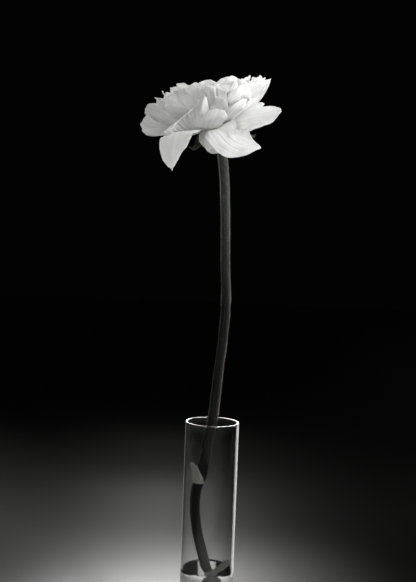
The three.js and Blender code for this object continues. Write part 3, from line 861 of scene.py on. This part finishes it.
# The bowl's front: petals that stand against it one by one, from the right round to the left.
frontPetals = [
    {  # long one up the right side
        "heading": 318,
        "spine": [[5, -4, 5], [18, -10, 15], [31, -9.5, 24.5], [43.5, -6.5, 34]],
        "width": [10, 24, 28, 22], "roll": [0, 8, 12, 8], "cup": [20, 26, 26, 16],
        "point": 0.5, "ruffle": 0.7,
    },
    {  # inside it
        "heading": 306,
        "spine": [[4, -6, 6], [14, -17, 15.5], [24, -19, 23.4], [35.5, -15.5, 31.5]],
        "width": [10, 22, 26, 20], "roll": [0, 10, 14, 10], "cup": [20, 26, 26, 18],
        "point": 0.42, "ruffle": 0.9,
    },
    {  # low on the right
        "heading": 296,
        "spine": [[2, -8, 6], [9, -24, 10], [15.5, -29.5, 14.4], [22.5, -28.5, 20]],
        "width": [8, 15, 17, 14], "roll": [0, 4, 6, 12], "cup": [14, 18, 20, 16],
        "point": 0.42, "ruffle": 0.8,
    },
    {  # right of the middle
        "heading": 292,
        "spine": [[3, -6, 8], [12, -24, 16], [19, -28, 23], [25.5, -25, 30]],
        "width": [10, 18, 21, 18], "roll": [0, 4, 8, 8], "cup": [18, 22, 22, 16],
        "point": 0.3, "ruffle": 1.3,
        "finish": {"pleat": 0.16},
    },
    {  # middle, high
        "heading": 282,
        "spine": [[2, -8, 8], [7.5, -27, 17], [12, -31, 25.5], [16, -28.5, 33.4]],
        "width": [10, 20, 24, 21], "roll": [0, 0, 4, 6], "cup": [18, 20, 20, 14],
        "point": 0.24, "ruffle": 1.5,
        "finish": {"pleat": 0.18},
    },
    {  # middle, high, folded in pleats
        "heading": 268,
        "spine": [[0, -8, 8], [-4.6, -29, 18.4], [-4.1, -36, 25.8], [-3.6, -41, 32.4]],
        "width": [10, 20, 24, 23], "roll": [0, -8, -10, -10], "cup": [18, 20, 18, 10],
        "point": 0.16, "ruffle": 1.4,
        "finish": {"steady": 0.8, "pleat": 0.5, "pleatPitch": 4.4},
    },
    {  # middle, low, smooth and shaded
        "heading": 264,
        "spine": [[0, -8, 7], [-0.1, -27.4, 13.2], [0.6, -32.6, 19.6], [0.2, -36.4, 24]],
        "width": [9, 15, 15, 16], "roll": [0, -6, -10, -10], "cup": [10, 10, 8, 6],
        "point": 0.16, "ruffle": 0.3,
        "finish": {"pleat": 0.03},
    },
    {  # two narrow bright ones beside it
        "heading": 262,
        "spine": [[-0.7, -8, 5.6], [-8, -30, 14.5], [-7.6, -35.5, 20.0], [-6.2, -36.8, 25.6]],
        "width": [5, 9, 10, 8], "roll": [0, 20, 34, 40], "cup": [20, 26, 26, 20],
        "point": 0.34, "ruffle": 0.5,
    },
    {
        "heading": 258,
        "spine": [[-2, -8, 6.6], [-10, -29, 15.5], [-11, -33.5, 21], [-8.8, -35, 26]],
        "width": [5, 9, 10, 8], "roll": [0, 16, 26, 34], "cup": [20, 26, 26, 20],
        "point": 0.4, "ruffle": 0.5,
    },
    {  # left of the middle, tall, smooth and shaded
        "heading": 258,
        "spine": [[-2, -8, 8], [-13.6, -26.5, 18.6], [-15, -33, 27], [-14.5, -37.5, 34.4]],
        "width": [9, 17, 19, 18], "roll": [0, -20, -26, -26], "cup": [10, 12, 10, 8],
        "point": 0.14, "ruffle": 0.5,
        "finish": {"pleat": 0.04},
    },
    {  # left, tall, pleated
        "heading": 244,
        "spine": [[-3, -8, 8], [-20, -26, 18], [-25.3, -29, 27], [-26.4, -26, 35]],
        "width": [10, 22, 27, 25], "roll": [0, 6, 8, 8], "cup": [20, 20, 16, 10],
        "point": 0.2, "ruffle": 1.5,
        "finish": {"steady": 0.8, "pleat": 0.6, "pleatPitch": 5.0},
    },
    {  # left end
        "heading": 222,
        "spine": [[-4, -6, 8], [-24, -21, 18], [-31.5, -21.5, 26.5], [-35.5, -17, 33.4]],
        "width": [10, 20, 23, 20], "roll": [0, 4, 6, 6], "cup": [20, 20, 16, 10],
        "point": 0.28, "ruffle": 1.3,
        "finish": {"steady": 0.8, "pleat": 0.45, "pleatPitch": 4.4},
    },
    {
        "heading": 216,
        "spine": [[-5, -5, 8], [-22, -20, 15], [-32.5, -20.5, 22.5], [-40, -16.5, 28.5]],
        "width": [9, 17, 19, 16], "roll": [0, 8, 10, 10], "cup": [20, 18, 14, 8],
        "point": 0.36, "ruffle": 0.9,
    },
    {
        "heading": 202,
        "spine": [[-5, -4, 8], [-23, -13, 18], [-36, -13, 26], [-44.5, -9, 32]],
        "width": [9, 18, 21, 17], "roll": [0, 2, 4, 4], "cup": [20, 18, 14, 8],
        "point": 0.44, "ruffle": 1.2,
    },
]
frontGrid = (44, 44)
frontFinish = {"frill": 0.5, "frillPitch": 5.0, "lip": -0.7, "uneven": 1.8}

sheets = []
for number, petal in enumerate(frontPetals):
    finish = {**frontFinish, **petal.get("finish", {})}
    sheets.append(petalShape(bladeOf(petal, number + 31), *frontGrid, **finish))
rightCount = 7  # so many stand on the right
makePiece("bowlFrontRight", sheets[:rightCount], petalSkin, "petals")
makePiece("bowlFrontLeft", sheets[rightCount:], petalSkin, "petals")
print("front petals made:", len(frontPetals))

# Bowl petals: a short row round the back, a row all round, and a spiral that closes in on the eye.
# Radius, height and width are those of a petal's end; root has the radius and the height of its
# root; each for the first and the last petal of the run.
bowlRows = [
    {
        "name": "bowlOuter", "count": 6, "first": 8, "turn": 32, "radius": [45, 45],
        "height": [33, 33], "dip": 6, "inset": 0, "root": [[8, 10], [8, 10]], "width": [33, 33],
        "hollow": 5, "twist": -9, "grid": (40, 44),
    },
    {
        "name": "bowlMiddle", "count": 12, "first": 336, "turn": -30, "radius": [39.5, 39.5],
        "height": [37.5, 37.5], "dip": 4, "inset": 6, "root": [[18, 14], [18, 14]],
        "width": [28, 28], "hollow": 4, "twist": -9, "grid": (34, 32),
    },
    {
        "name": "bowlHeart", "count": 32, "first": 20, "turn": 137.5, "radius": [34.5, 8.2],
        "height": [40, 36], "dip": 1.5, "inset": 3, "root": [[18, 18], [7.2, 22]],
        "width": [26, 12], "hollow": 3, "twist": 0, "grid": (26, 26),
    },
]
bowlFinish = {"frill": 0.4, "frillPitch": 5.0, "pleat": 0.18, "lip": -0.6, "uneven": 1.3}


def bowlPetal(row, k):
    # petal k of a row: it leaves the heart, bellies out and ends on the bowl's crown
    t = k / (row["count"] - 1)
    seed = 100 * row["count"] + k
    heading = row["first"] + row["turn"] * k + 12 * (draw(seed, 11) - 0.5)
    angle = math.radians(heading)
    lerp = lambda pair: pair[0] + (pair[1] - pair[0]) * t
    outward = lambda radius, height: [radius * math.cos(angle), radius * math.sin(angle), height]
    front = max(0.0, -math.sin(angle)) ** 1.5
    toFront = row["dip"] * front
    inset = (0.5 * row["dip"] + row["inset"] * (1 - t)) * front
    radius = lerp(row["radius"]) - inset + 1.6 * (draw(seed, 12) - 0.5)
    height = lerp(row["height"]) - toFront + 2.4 * (draw(seed, 13) - 0.5)
    root = [lerp(pair) for pair in zip(*row["root"])]
    part = lambda share, lift: outward(
        root[0] + (radius - root[0]) * share,
        root[1] + (height - root[1]) * share - lift * row["hollow"],
    )
    width = lerp(row["width"])
    wrap = math.degrees(width / 2 / radius)
    shape = {
        "heading": heading,
        "spine": [outward(*root), part(0.36, 1), part(0.72, 0.9), outward(radius, height)],
        "width": [0.5 * width, 0.85 * width, width, 0.9 * width],
        "roll": [row["twist"], row["twist"] + 6 * (draw(seed, 16) - 0.5)],
        "cup": [min(50, 1.1 * wrap), min(50, wrap)],
        "point": 0.26,
        "ruffle": 1.4 * (0.6 + 0.8 * draw(seed, 17)),
    }
    return bladeOf(shape, seed)


for row in bowlRows:
    blades = [bowlPetal(row, k) for k in range(row["count"])]
    sheets = [petalShape(blade, *row["grid"], **bowlFinish) for blade in blades]
    makePiece(row["name"], sheets, petalSkin, "petals")
print("bowl petals made:", sum(row["count"] for row in bowlRows))

# The heart of the bud that the inner petals stand out of, folded petals packed close.
heart = {
    "profile": [
        [0, 0.3], [6.2, 0.3], [8, 3.5], [15, 10], [27, 18], [31, 24],
        [27, 28.5], [12, 29.5], [6.6, 26], [5.6, 20], [0, 20],
    ],
    "sides": 96,
    "folds": 11,
    "fold": 0.35,
    "fineFolds": 23,
    "fineFold": 0.2,
    "twist": (0.35, -0.2),  # radians per mm of height, for the folds and the fine folds
    "veinsAt": 20,  # mm, the place on a petal whose veins it shows
}


def heartShape(settings):
    rounded = np.array(settings["profile"], float)
    for _ in range(2):  # corner cutting rounds the profile
        cut = [rounded[0]]
        for a, b in zip(rounded[1:-2], rounded[2:-1]):
            cut += [0.75 * a + 0.25 * b, 0.25 * a + 0.75 * b]
        rounded = np.array(cut + [rounded[-1]])
    shape = turnedShape(rounded, settings["sides"])
    points = shape["points"]
    angle = np.arctan2(points[:, 1], points[:, 0])
    radius = np.hypot(points[:, 0], points[:, 1])
    coarse, fine = settings["twist"]
    fold = settings["fold"] * np.sin(settings["folds"] * angle + coarse * points[:, 2])
    fold += settings["fineFold"] * np.sin(settings["fineFolds"] * angle + fine * points[:, 2])
    grow = 1 + np.where(radius > 0.1, fold, 0) / np.maximum(radius, 4)
    points[:, :2] *= grow[:, None]
    veinsAt = settings["veinsAt"]
    shape["place"] = np.stack([angle * veinsAt, radius + veinsAt], -1) * mm
    shape["points"] = inBloom(points)
    return shape


makePiece("petalHeart", [heartShape(heart)], petalSkin, "petals")

# Seed head in the eye: egg-shaped, raised over each seed, with a small hooked beak on each.
seedHead = {
    "radius": 4.6,
    "height": 8.5,
    "seat": 20.3,
    "rows": 8,
    "around": 14,
    "relief": 0.55,
    "rings": 48,
    "sides": 112,
    "slim": 0.8,  # below 1 the egg is fuller than an ellipse
    "beak": [0.42, 0.34, 0.16, 0.03],  # its radii from foot to tip
    "beakSides": 7,
}


def taper(points, radii, sides):
    # a closed round rod along a few points
    points, radii = np.array(points, float), np.array(radii, float)
    slope = unit(np.gradient(points, axis=0))
    across = unit(np.cross(slope, np.array([0.31, 0.93, 0.17])))
    rings = ringsRound(points, across, np.cross(slope, across), radii[:, None], sides)
    return closedTube(rings, points[0], points[-1])


def seedHeadShapes(settings):
    radius, height, seat = (settings[k] for k in ("radius", "height", "seat"))
    egg = lambda a: (radius * math.cos(a) ** settings["slim"], seat + height * math.sin(a))
    level = np.linspace(0, 1, settings["rings"])[:-1] * math.pi / 2
    profile = [[0, seat], *[egg(a) for a in level], [0, seat + height]]
    body = turnedShape(profile, settings["sides"])
    points = body["points"]
    row = (points[:, 2] - seat) / height
    around = np.arctan2(points[:, 1], points[:, 0])
    bump = np.cos(settings["around"] * around + 9.4 * row) * np.cos(
        settings["rows"] * math.pi * row - 0.5 * settings["around"] * around
    )
    grow = 1 + settings["relief"] * bump / radius * (row > 0.02)
    offAxis = np.hypot(points[:, 0], points[:, 1]) > 0.1
    points[:, :2] *= np.where(offAxis, grow, 1)[:, None]
    shapes = [body]
    for ring in range(settings["rows"]):
        a = (ring + 0.5) / settings["rows"] * math.pi / 2 * 0.96
        count = max(4, round(settings["around"] * math.cos(a)))
        reach, lift = egg(a)
        for k in range(count):
            turn = 2 * math.pi * (k + 0.5 * (ring % 2)) / count
            flat = np.array([math.cos(turn), math.sin(turn), 0])
            out = flat * math.cos(a) + [0, 0, math.sin(a)]
            foot = flat * reach + [0, 0, lift]
            hook = foot + out * 0.9 + [0, 0, 0.5]
            tipEnd = hook + out * 0.1 + (flat + [0, 0, 0.6]) * 0.35
            beak = [foot - out * 0.4, foot + out * 0.45, hook, tipEnd]
            shapes.append(taper(beak, settings["beak"], settings["beakSides"]))
    for shape in shapes:
        shape["points"] = inBloom(shape["points"])
    return shapes


makePiece("seedHead", seedHeadShapes(seedHead), seedSkin, "seed_head")
print("seed head made")

# The stem runs from its cut end under water to the flower; route and radius in mm.
stem = {
    "route": [
        [12.9, -4.1, 9.05], [8.5, -2, 34], [3.2, 1, 56], [-2.6, 3.5, 75], [-8.0, 5.5, 93.5],
        [-11.0, 7, 112], [-10.2, 8.2, 127], [-6.6, 9.8, 137], [-4.4, 11.4, 152], [-1.6, 13.4, 168],
        [0.4, 14.2, 180], [1.6, 14.6, 192], [3.4, 14.6, 215], [6.0, 13.8, 243], [7.0, 12.4, 268],
        [5.4, 10.8, 300], [4.0, 9.4, 335], [1.9, 8.4, 366], [-1.7, 8.2, 393],
    ],
    "radius": [
        3.7, 3.8, 3.9, 3.9, 3.9, 4.0, 4.1, 4.3, 4.0, 3.9,
        3.8, 3.75, 3.65, 3.6, 3.6, 3.55, 3.55, 3.6, 3.9,
    ],
    "sides": 56,
    "steps": 520,
    "ribs": 11,
    "rib": 0.06,
    "dent": 0.05,
    "bore": 0.66,  # share of the radius that is hollow at the cut end
    "boreDepth": 5,
    "cup": [
        [0, -7], [3.9, -7], [3.95, -5.8], [4.15, -4.6], [4.5, -3.6], [5.1, -2.6],
        [5.9, -1.7], [6.2, -1.0], [6.2, -0.3], [5.8, 0.2], [0, 0.5],
    ],
    "cupSides": 64,
}


def stemFrame(settings, t):
    # centre, across, square and radius at places t, from 0 at the cut end to 1 at the flower
    spans = len(settings["route"]) - 1
    table = curveTable(settings["route"])
    count = len(table["dense"])
    places = np.clip(np.asarray(t), 0, 1) * (count - 1)
    centre, along3 = pickAlong(table, np.arange(count), places)
    across = unit(np.array([1.0, 0, 0]) - along3 * along3[..., :1])
    radius = np.interp(np.clip(t, 0, 1) * spans, range(spans + 1), settings["radius"])
    return centre, along3, across, np.cross(along3, across), radius


def stemShape(settings):
    t = np.linspace(0, 1, settings["steps"] + 1)
    centre, along3, across, square, radius = stemFrame(settings, t)
    angle, t = evenAngles(settings["sides"])[None], t[:, None]
    ribs = np.cos(settings["ribs"] * angle + 3 * t) * settings["rib"]
    dents = settings["dent"] * np.sin(3 * angle + 40 * t) * np.sin(2 * angle - 57 * t)
    reach = radius[:, None] + ribs - settings["rib"] + dents
    rings = ringsRound(centre, across, square, reach, settings["sides"])
    # the cut end is hollow: two more rings lead up inside it
    lip = centre[0] + (rings[0] - centre[0]) * settings["bore"]
    inside = lip + along3[0] * settings["boreDepth"]
    rows = np.concatenate([inside[None], lip[None], rings])
    shape = closedTube(rows, inside.mean(0), centre[-1])
    shape["points"] = shape["points"] * mm
    return shape


def cupShape(settings):
    # the stem widens into the cup that carries the petals
    shape = turnedShape(settings["cup"], settings["cupSides"])
    shape["points"] = inBloom(shape["points"])
    return shape


makePiece("stemAndCup", [stemShape(stem), cupShape(stem)], stemSkin, "stem")

# Sepals: reach out from the stem and height, in mm, give the spine.
sepals = {
    "width": [5, 7, 8, 7, 6],
    "cup": [40, 44, 50, 50],
    "point": 0.5,
    "ruffle": 0.15,
    "grid": (28, 56),
    "finish": {
        "thick": 0.55, "thin": 0.25, "pleatPitch": 1.6, "pleat": 0.07,
        "frill": 0.25, "frillPitch": 5, "lip": 0.0,
    },
    "each": [
        {
            "name": "sepalLeft",
            "heading": 197,
            "reach": [2.6, 8.5, 13.2, 15.8, 18.4, 21.8, 25.2],
            "height": [-2.2, -1.6, 0, -3.2, -6.6, -8.4, -6.2],
            "roll": [0, -10, -30, -45, -50, -50],
            "cup": [40, 34, 30, 24],
        },
        {
            "name": "sepalFront",
            "heading": 258,
            "reach": [2.6, 5, 7.5, 9.5, 11],
            "height": [-2.2, -2.2, -2.6, -3.2, -4],
        },
        {
            "name": "sepalFrontRight",
            "heading": 316,
            "reach": [2.6, 7, 10, 11.5, 13],
            "height": [-2.2, -3.4, -6.5, -9.5, -12],
        },
        {
            "name": "sepalRight",
            "heading": 19,
            "reach": [2.6, 9, 17.4, 23, 26.6, 29.6],
            "height": [-2.2, -1.8, -0.4, -3, -4.8, -3],
            "roll": [0, 15, 35, 45, 50],
            "cup": [40, 34, 30, 24],
        },
        {
            "name": "sepalBack",
            "heading": 106,
            "reach": [2.6, 9, 15, 19, 22],
            "height": [-2.2, -2.8, -4.6, -6.4, -8],
        },
    ],
}


def sepalBlade(one, settings, seed):
    angle = math.radians(one["heading"])
    places = zip(one["reach"], one["height"])
    spine = [[r * math.cos(angle), r * math.sin(angle), h] for r, h in places]
    usual = {k: settings[k] for k in ("width", "cup", "point", "ruffle")}
    return bladeOf({**usual, **one, "spine": spine}, seed)


for number, one in enumerate(sepals["each"]):
    blade = sepalBlade(one, sepals, 50 + number)
    sheet = petalShape(blade, *sepals["grid"], **sepals["finish"])
    makePiece(one["name"], [sheet], sepalSkin, "stem")

# Down on the stem: short hairs, each a thin spike that stands out and leans upward. In mm.
down = {
    "count": 9000,
    "length": (0.5, 1.15),
    "thickness": 0.032,
    "lean": 0.35,
    "sway": 0.22,
    "sunk": 0.15,
    "ends": (0.004, 0.985),  # shares of the stem that it starts and ends at
    "seed": 4,
}


def spikes(feet, tips, thickness):
    # one thin closed three-sided spike for each foot and tip
    slope = unit(tips - feet)
    across = unit(np.cross(slope, np.array([0.2, 0.1, 0.97])))
    square = np.cross(slope, across)
    thirds = (0, 2.094, 4.189)  # of a turn, in radians
    corner = [feet + thickness * (across * math.cos(a) + square * math.sin(a)) for a in thirds]
    points = np.stack(corner + [tips], 1).reshape(-1, 3)
    first = np.arange(len(feet))[:, None] * 4
    faces = np.array([[0, 1, 3], [1, 2, 3], [2, 0, 3], [0, 2, 1]])
    return {"points": points * mm, "tris": (first[:, None] + faces[None]).reshape(-1, 3)}


def stemDown(settings):
    random, count = np.random.default_rng(settings["seed"]), settings["count"]
    t = random.uniform(*settings["ends"], count)
    angle = random.uniform(0, 2 * math.pi, count)
    centre, along3, across, square, radius = stemFrame(stem, t)
    out = across * np.cos(angle)[:, None] + square * np.sin(angle)[:, None]
    length = random.uniform(*settings["length"], count)[:, None]
    feet = centre + out * (radius[:, None] - settings["sunk"])
    sway = random.normal(0, settings["sway"], (count, 3))
    tips = feet + unit(out + along3 * settings["lean"] + sway) * length
    return spikes(feet, tips, settings["thickness"])


makePiece("stemDown", [stemDown(down)], hairSkin, "stem")
print("stem and sepals made")

# Leaf bases that clasp the stem and lean on the glass.
leafBases = [
    {
        "name": "sheathUpper", "node": "leaf_base_upper", "heading": 222,
        "spine": [[-12.5, 5.4, 132], [-12.3, 5.1, 136.5], [-12.9, 3.9, 142.5], [-14.05, 2.4, 148]],
        "width": [19.0, 13.6, 10, 8], "cup": [100, 66, 26, 8],
    },
    {
        "name": "sheathLower", "node": "leaf_base_lower", "heading": 300,
        "spine": [
            [5.3, -3.4, 57], [5.3, -3.7, 62], [8.4, -3.8, 67.5], [13, -3.2, 72.5], [17.5, -2.6, 77],
        ],
        "width": [18.2, 12.4, 9, 7.5, 6], "cup": [100, 66, 30, 14, 6],
    },
]
sheathFinish = {
    "thick": 0.5, "thin": 0.3, "pleatPitch": 2.6, "pleat": 0.02,
    "frill": 0.18, "frillPitch": 4, "lip": 0.0, "uneven": 1.6,
}
sheathGrid = (56, 48)

for base in leafBases:
    blade = bladeOf({**base, "point": 0.12, "ruffle": 0.3}, 0)
    sheet = thinSheet(*bladeGrid(blade, *sheathGrid, {**petalFinish, **sheathFinish}))
    sheet["points"] = sheet["points"] * mm
    makePiece(base["name"], [sheet], sheathSkin, base["node"])
print("leaf bases made")

# Vase, a tube with a thick foot: the foot's edge is rounded, and so is the bore's lower corner.
vase = {
    "radius": 20,
    "bore": 18.5,
    "height": 180,
    "foot": 8,
    "corner": 2.5,
    "footEdge": [
        [0, 0.6], [6, 0.55], [12, 0.35], [15.5, 0], [17.3, 0],
        [18.5, 0.06], [19.2, 0.4], [19.7, 0.95], [19.95, 1.7], [20, 2.6],
    ],
    "sides": 192,
}


def arc(centre, radius, angles):
    return [[centre[0] + radius * math.cos(a), centre[1] + radius * math.sin(a)] for a in angles]


def vaseProfile(settings):
    names = ("radius", "bore", "height", "foot", "corner")
    radius, bore, height, foot, corner = (settings[k] for k in names)
    bead = (radius - bore) / 2
    profile = settings["footEdge"] + [[radius, z] for z in np.linspace(6, height - bead, 30)]
    profile += arc((radius - bead, height - bead), bead, np.linspace(0, math.pi, 13)[1:-1])
    profile += [[bore, z] for z in np.linspace(height - bead, foot + corner, 30)]
    turn = np.linspace(0, -math.pi / 2, 8)[1:]
    profile += arc((bore - corner, foot + corner), corner, turn)
    profile += [[10, foot - 0.05], [5, foot - 0.1], [0, foot - 0.1]]
    return np.array(profile) * mm


vaseShape = turnedShape(vaseProfile(vase), vase["sides"])
makePiece("vaseGlass", [vaseShape], glassSkin, "vase")

# Water: it wets the glass, so its sides lie a hair inside the wall and it climbs at the edge.
water = {"level": 68.5, "overlap": 0.06, "climb": 0.9, "reach": 2.2, "curl": 2.6}


def waterProfile(settings):
    level, corner = settings["level"], vase["corner"]
    side = vase["bore"] + settings["overlap"]
    foot = vase["foot"] - settings["overlap"]
    profile = [[0, foot - 0.1], [5, foot - 0.1], [10, foot - 0.05]]
    turn = np.linspace(-math.pi / 2, 0, 8)
    profile += arc((side - corner, foot + corner), corner, turn)
    profile += [[side, z] for z in np.linspace(foot + 6, level - 2, 10)]
    profile += [[side, level + settings["climb"]]]
    for share in np.linspace(0.08, 1, 14):
        climb = settings["climb"] * (1 - share) ** settings["curl"]
        profile.append([side - settings["reach"] * share, level + climb])
    profile += [[12, level], [6, level], [0, level]]
    return np.array(profile) * mm


waterShape = turnedShape(waterProfile(water), vase["sides"])
makePiece("vaseWater", [waterShape], waterSkin, "water")
print("vase and water made")

# Studio: a pale floor in a dark room. Soft lights of narrow spread fall on the flower and the vase,
# the strips and the two behind it show on the glass, and low ones make a pool on the floor.
studio = {
    "floor": "#D6D6D3",
    "floorRadius": 7.0,  # m
    "floorDrop": 0.2 * mm,
    "grain": 0.8 * mm,
    "grainDepth": 0.05 * mm,
    "surround": "#030303",
    "lights": [
        # name, place, aim, width, height (m), spread (degrees), watts
        ("key", (0.85, -0.28, 0.78), (-0.01, 0.0, 0.40), 0.26, 0.26, 26, 0.226),
        ("front", (0.62, -0.50, 0.72), (-0.01, 0.0, 0.40), 0.26, 0.26, 26, 0.074),
        ("right", (0.98, -0.12, 0.50), (-0.01, 0.0, 0.40), 0.30, 0.30, 30, 0.146),
        ("fill", (-0.35, -0.72, 0.34), (-0.01, 0.0, 0.40), 0.30, 0.30, 30, 0.119),
        ("fillLeft", (-0.62, -0.55, 0.50), (-0.01, 0.0, 0.40), 0.30, 0.30, 28, 0.042),
        ("back", (-0.45, 0.55, 0.75), (-0.01, 0.0, 0.40), 0.34, 0.34, 26, 0.183),
        ("edge", (0.62, 0.22, 0.31), (0.0, 0.0, 0.285), 0.10, 0.20, 22, 0.055),
        ("low", (0.24, -0.30, 0.62), (-0.004, 0.0, 0.130), 0.08, 0.08, 12, 0.015),
        ("rim", (0.10, 0.36, 0.66), (0.0, 0.0, 0.18), 0.26, 0.26, 24, 0.2),
        ("rimBack", (0.02, 0.50, 0.32), (0.0, 0.0, 0.18), 0.34, 0.18, 36, 0.24),
        ("stripRight", (0.085, 0.112, 0.107), (0.0, 0.0, 0.107), 0.12, 0.186, 120, 0.062),
        ("stripLeft", (-0.060, 0.125, 0.107), (0.0, 0.0, 0.107), 0.030, 0.186, 120, 0.003),
        ("floorNear", (-0.025, 0.12, 0.137), (-0.025, 0.12, 0.0), 0.04, 0.16, 120, 0.076),
        ("floorDeep", (-0.050, 0.34, 0.130), (-0.050, 0.34, 0.0), 0.04, 0.30, 150, 0.027),
        ("floorFar", (-0.060, 0.60, 0.200), (-0.060, 0.60, 0.0), 0.04, 0.40, 160, 0.009),
    ],
}


def makeFloor(settings):
    material, tree, shader = newMaterial("matt board, pale")
    body = addNode(tree, "ShaderNodeTexCoord", "Object", {})
    grain = addNode(
        tree, "ShaderNodeTexNoise", "Fac",
        {"Vector": body, "Scale": 1 / settings["grain"], "Detail": 2.0},
    )
    bump = addNode(
        tree, "ShaderNodeBump", "Normal",
        {"Height": grain, "Strength": 0.1, "Distance": settings["grainDepth"]},
    )
    colour = linearColour(settings["floor"])
    dress(shader, {"Base Color": colour, "Roughness": 0.85, "Normal": bump})
    mesh = bpy.data.meshes.new("floor")
    radius, drop, sides = settings["floorRadius"], settings["floorDrop"], 64
    ring = [(radius * math.cos(a), radius * math.sin(a), -drop) for a in evenAngles(sides)]
    mesh.from_pydata(ring, [], [list(range(sides))])
    mesh.materials.append(material)
    floor = bpy.data.objects.new("floor", mesh)
    scene.collection.objects.link(floor)


def makeLight(name, place, aim, width, height, spread, watts):
    light = bpy.data.lights.new(name, "AREA")
    light.shape = "RECTANGLE"
    light.size, light.size_y = width, height
    light.spread = math.radians(spread)
    light.energy = watts
    lamp = bpy.data.objects.new(name, light)
    lamp.location = place
    lamp.rotation_euler = (Vector(aim) - Vector(place)).to_track_quat("-Z", "Y").to_euler()
    # it shows as a highlight on the glass, but not itself or through the glass
    lamp.visible_camera = False
    lamp.visible_transmission = False
    scene.collection.objects.link(lamp)


def makeSurround(settings):
    world = bpy.data.worlds.new("studio")
    world.use_nodes = True
    dress(world.node_tree.nodes["Background"], {"Color": linearColour(settings["surround"])})
    scene.world = world
    scene.view_settings.view_transform = "Standard"


makeFloor(studio)
for light in studio["lights"]:
    makeLight(*light)
makeSurround(studio)
print("studio made")
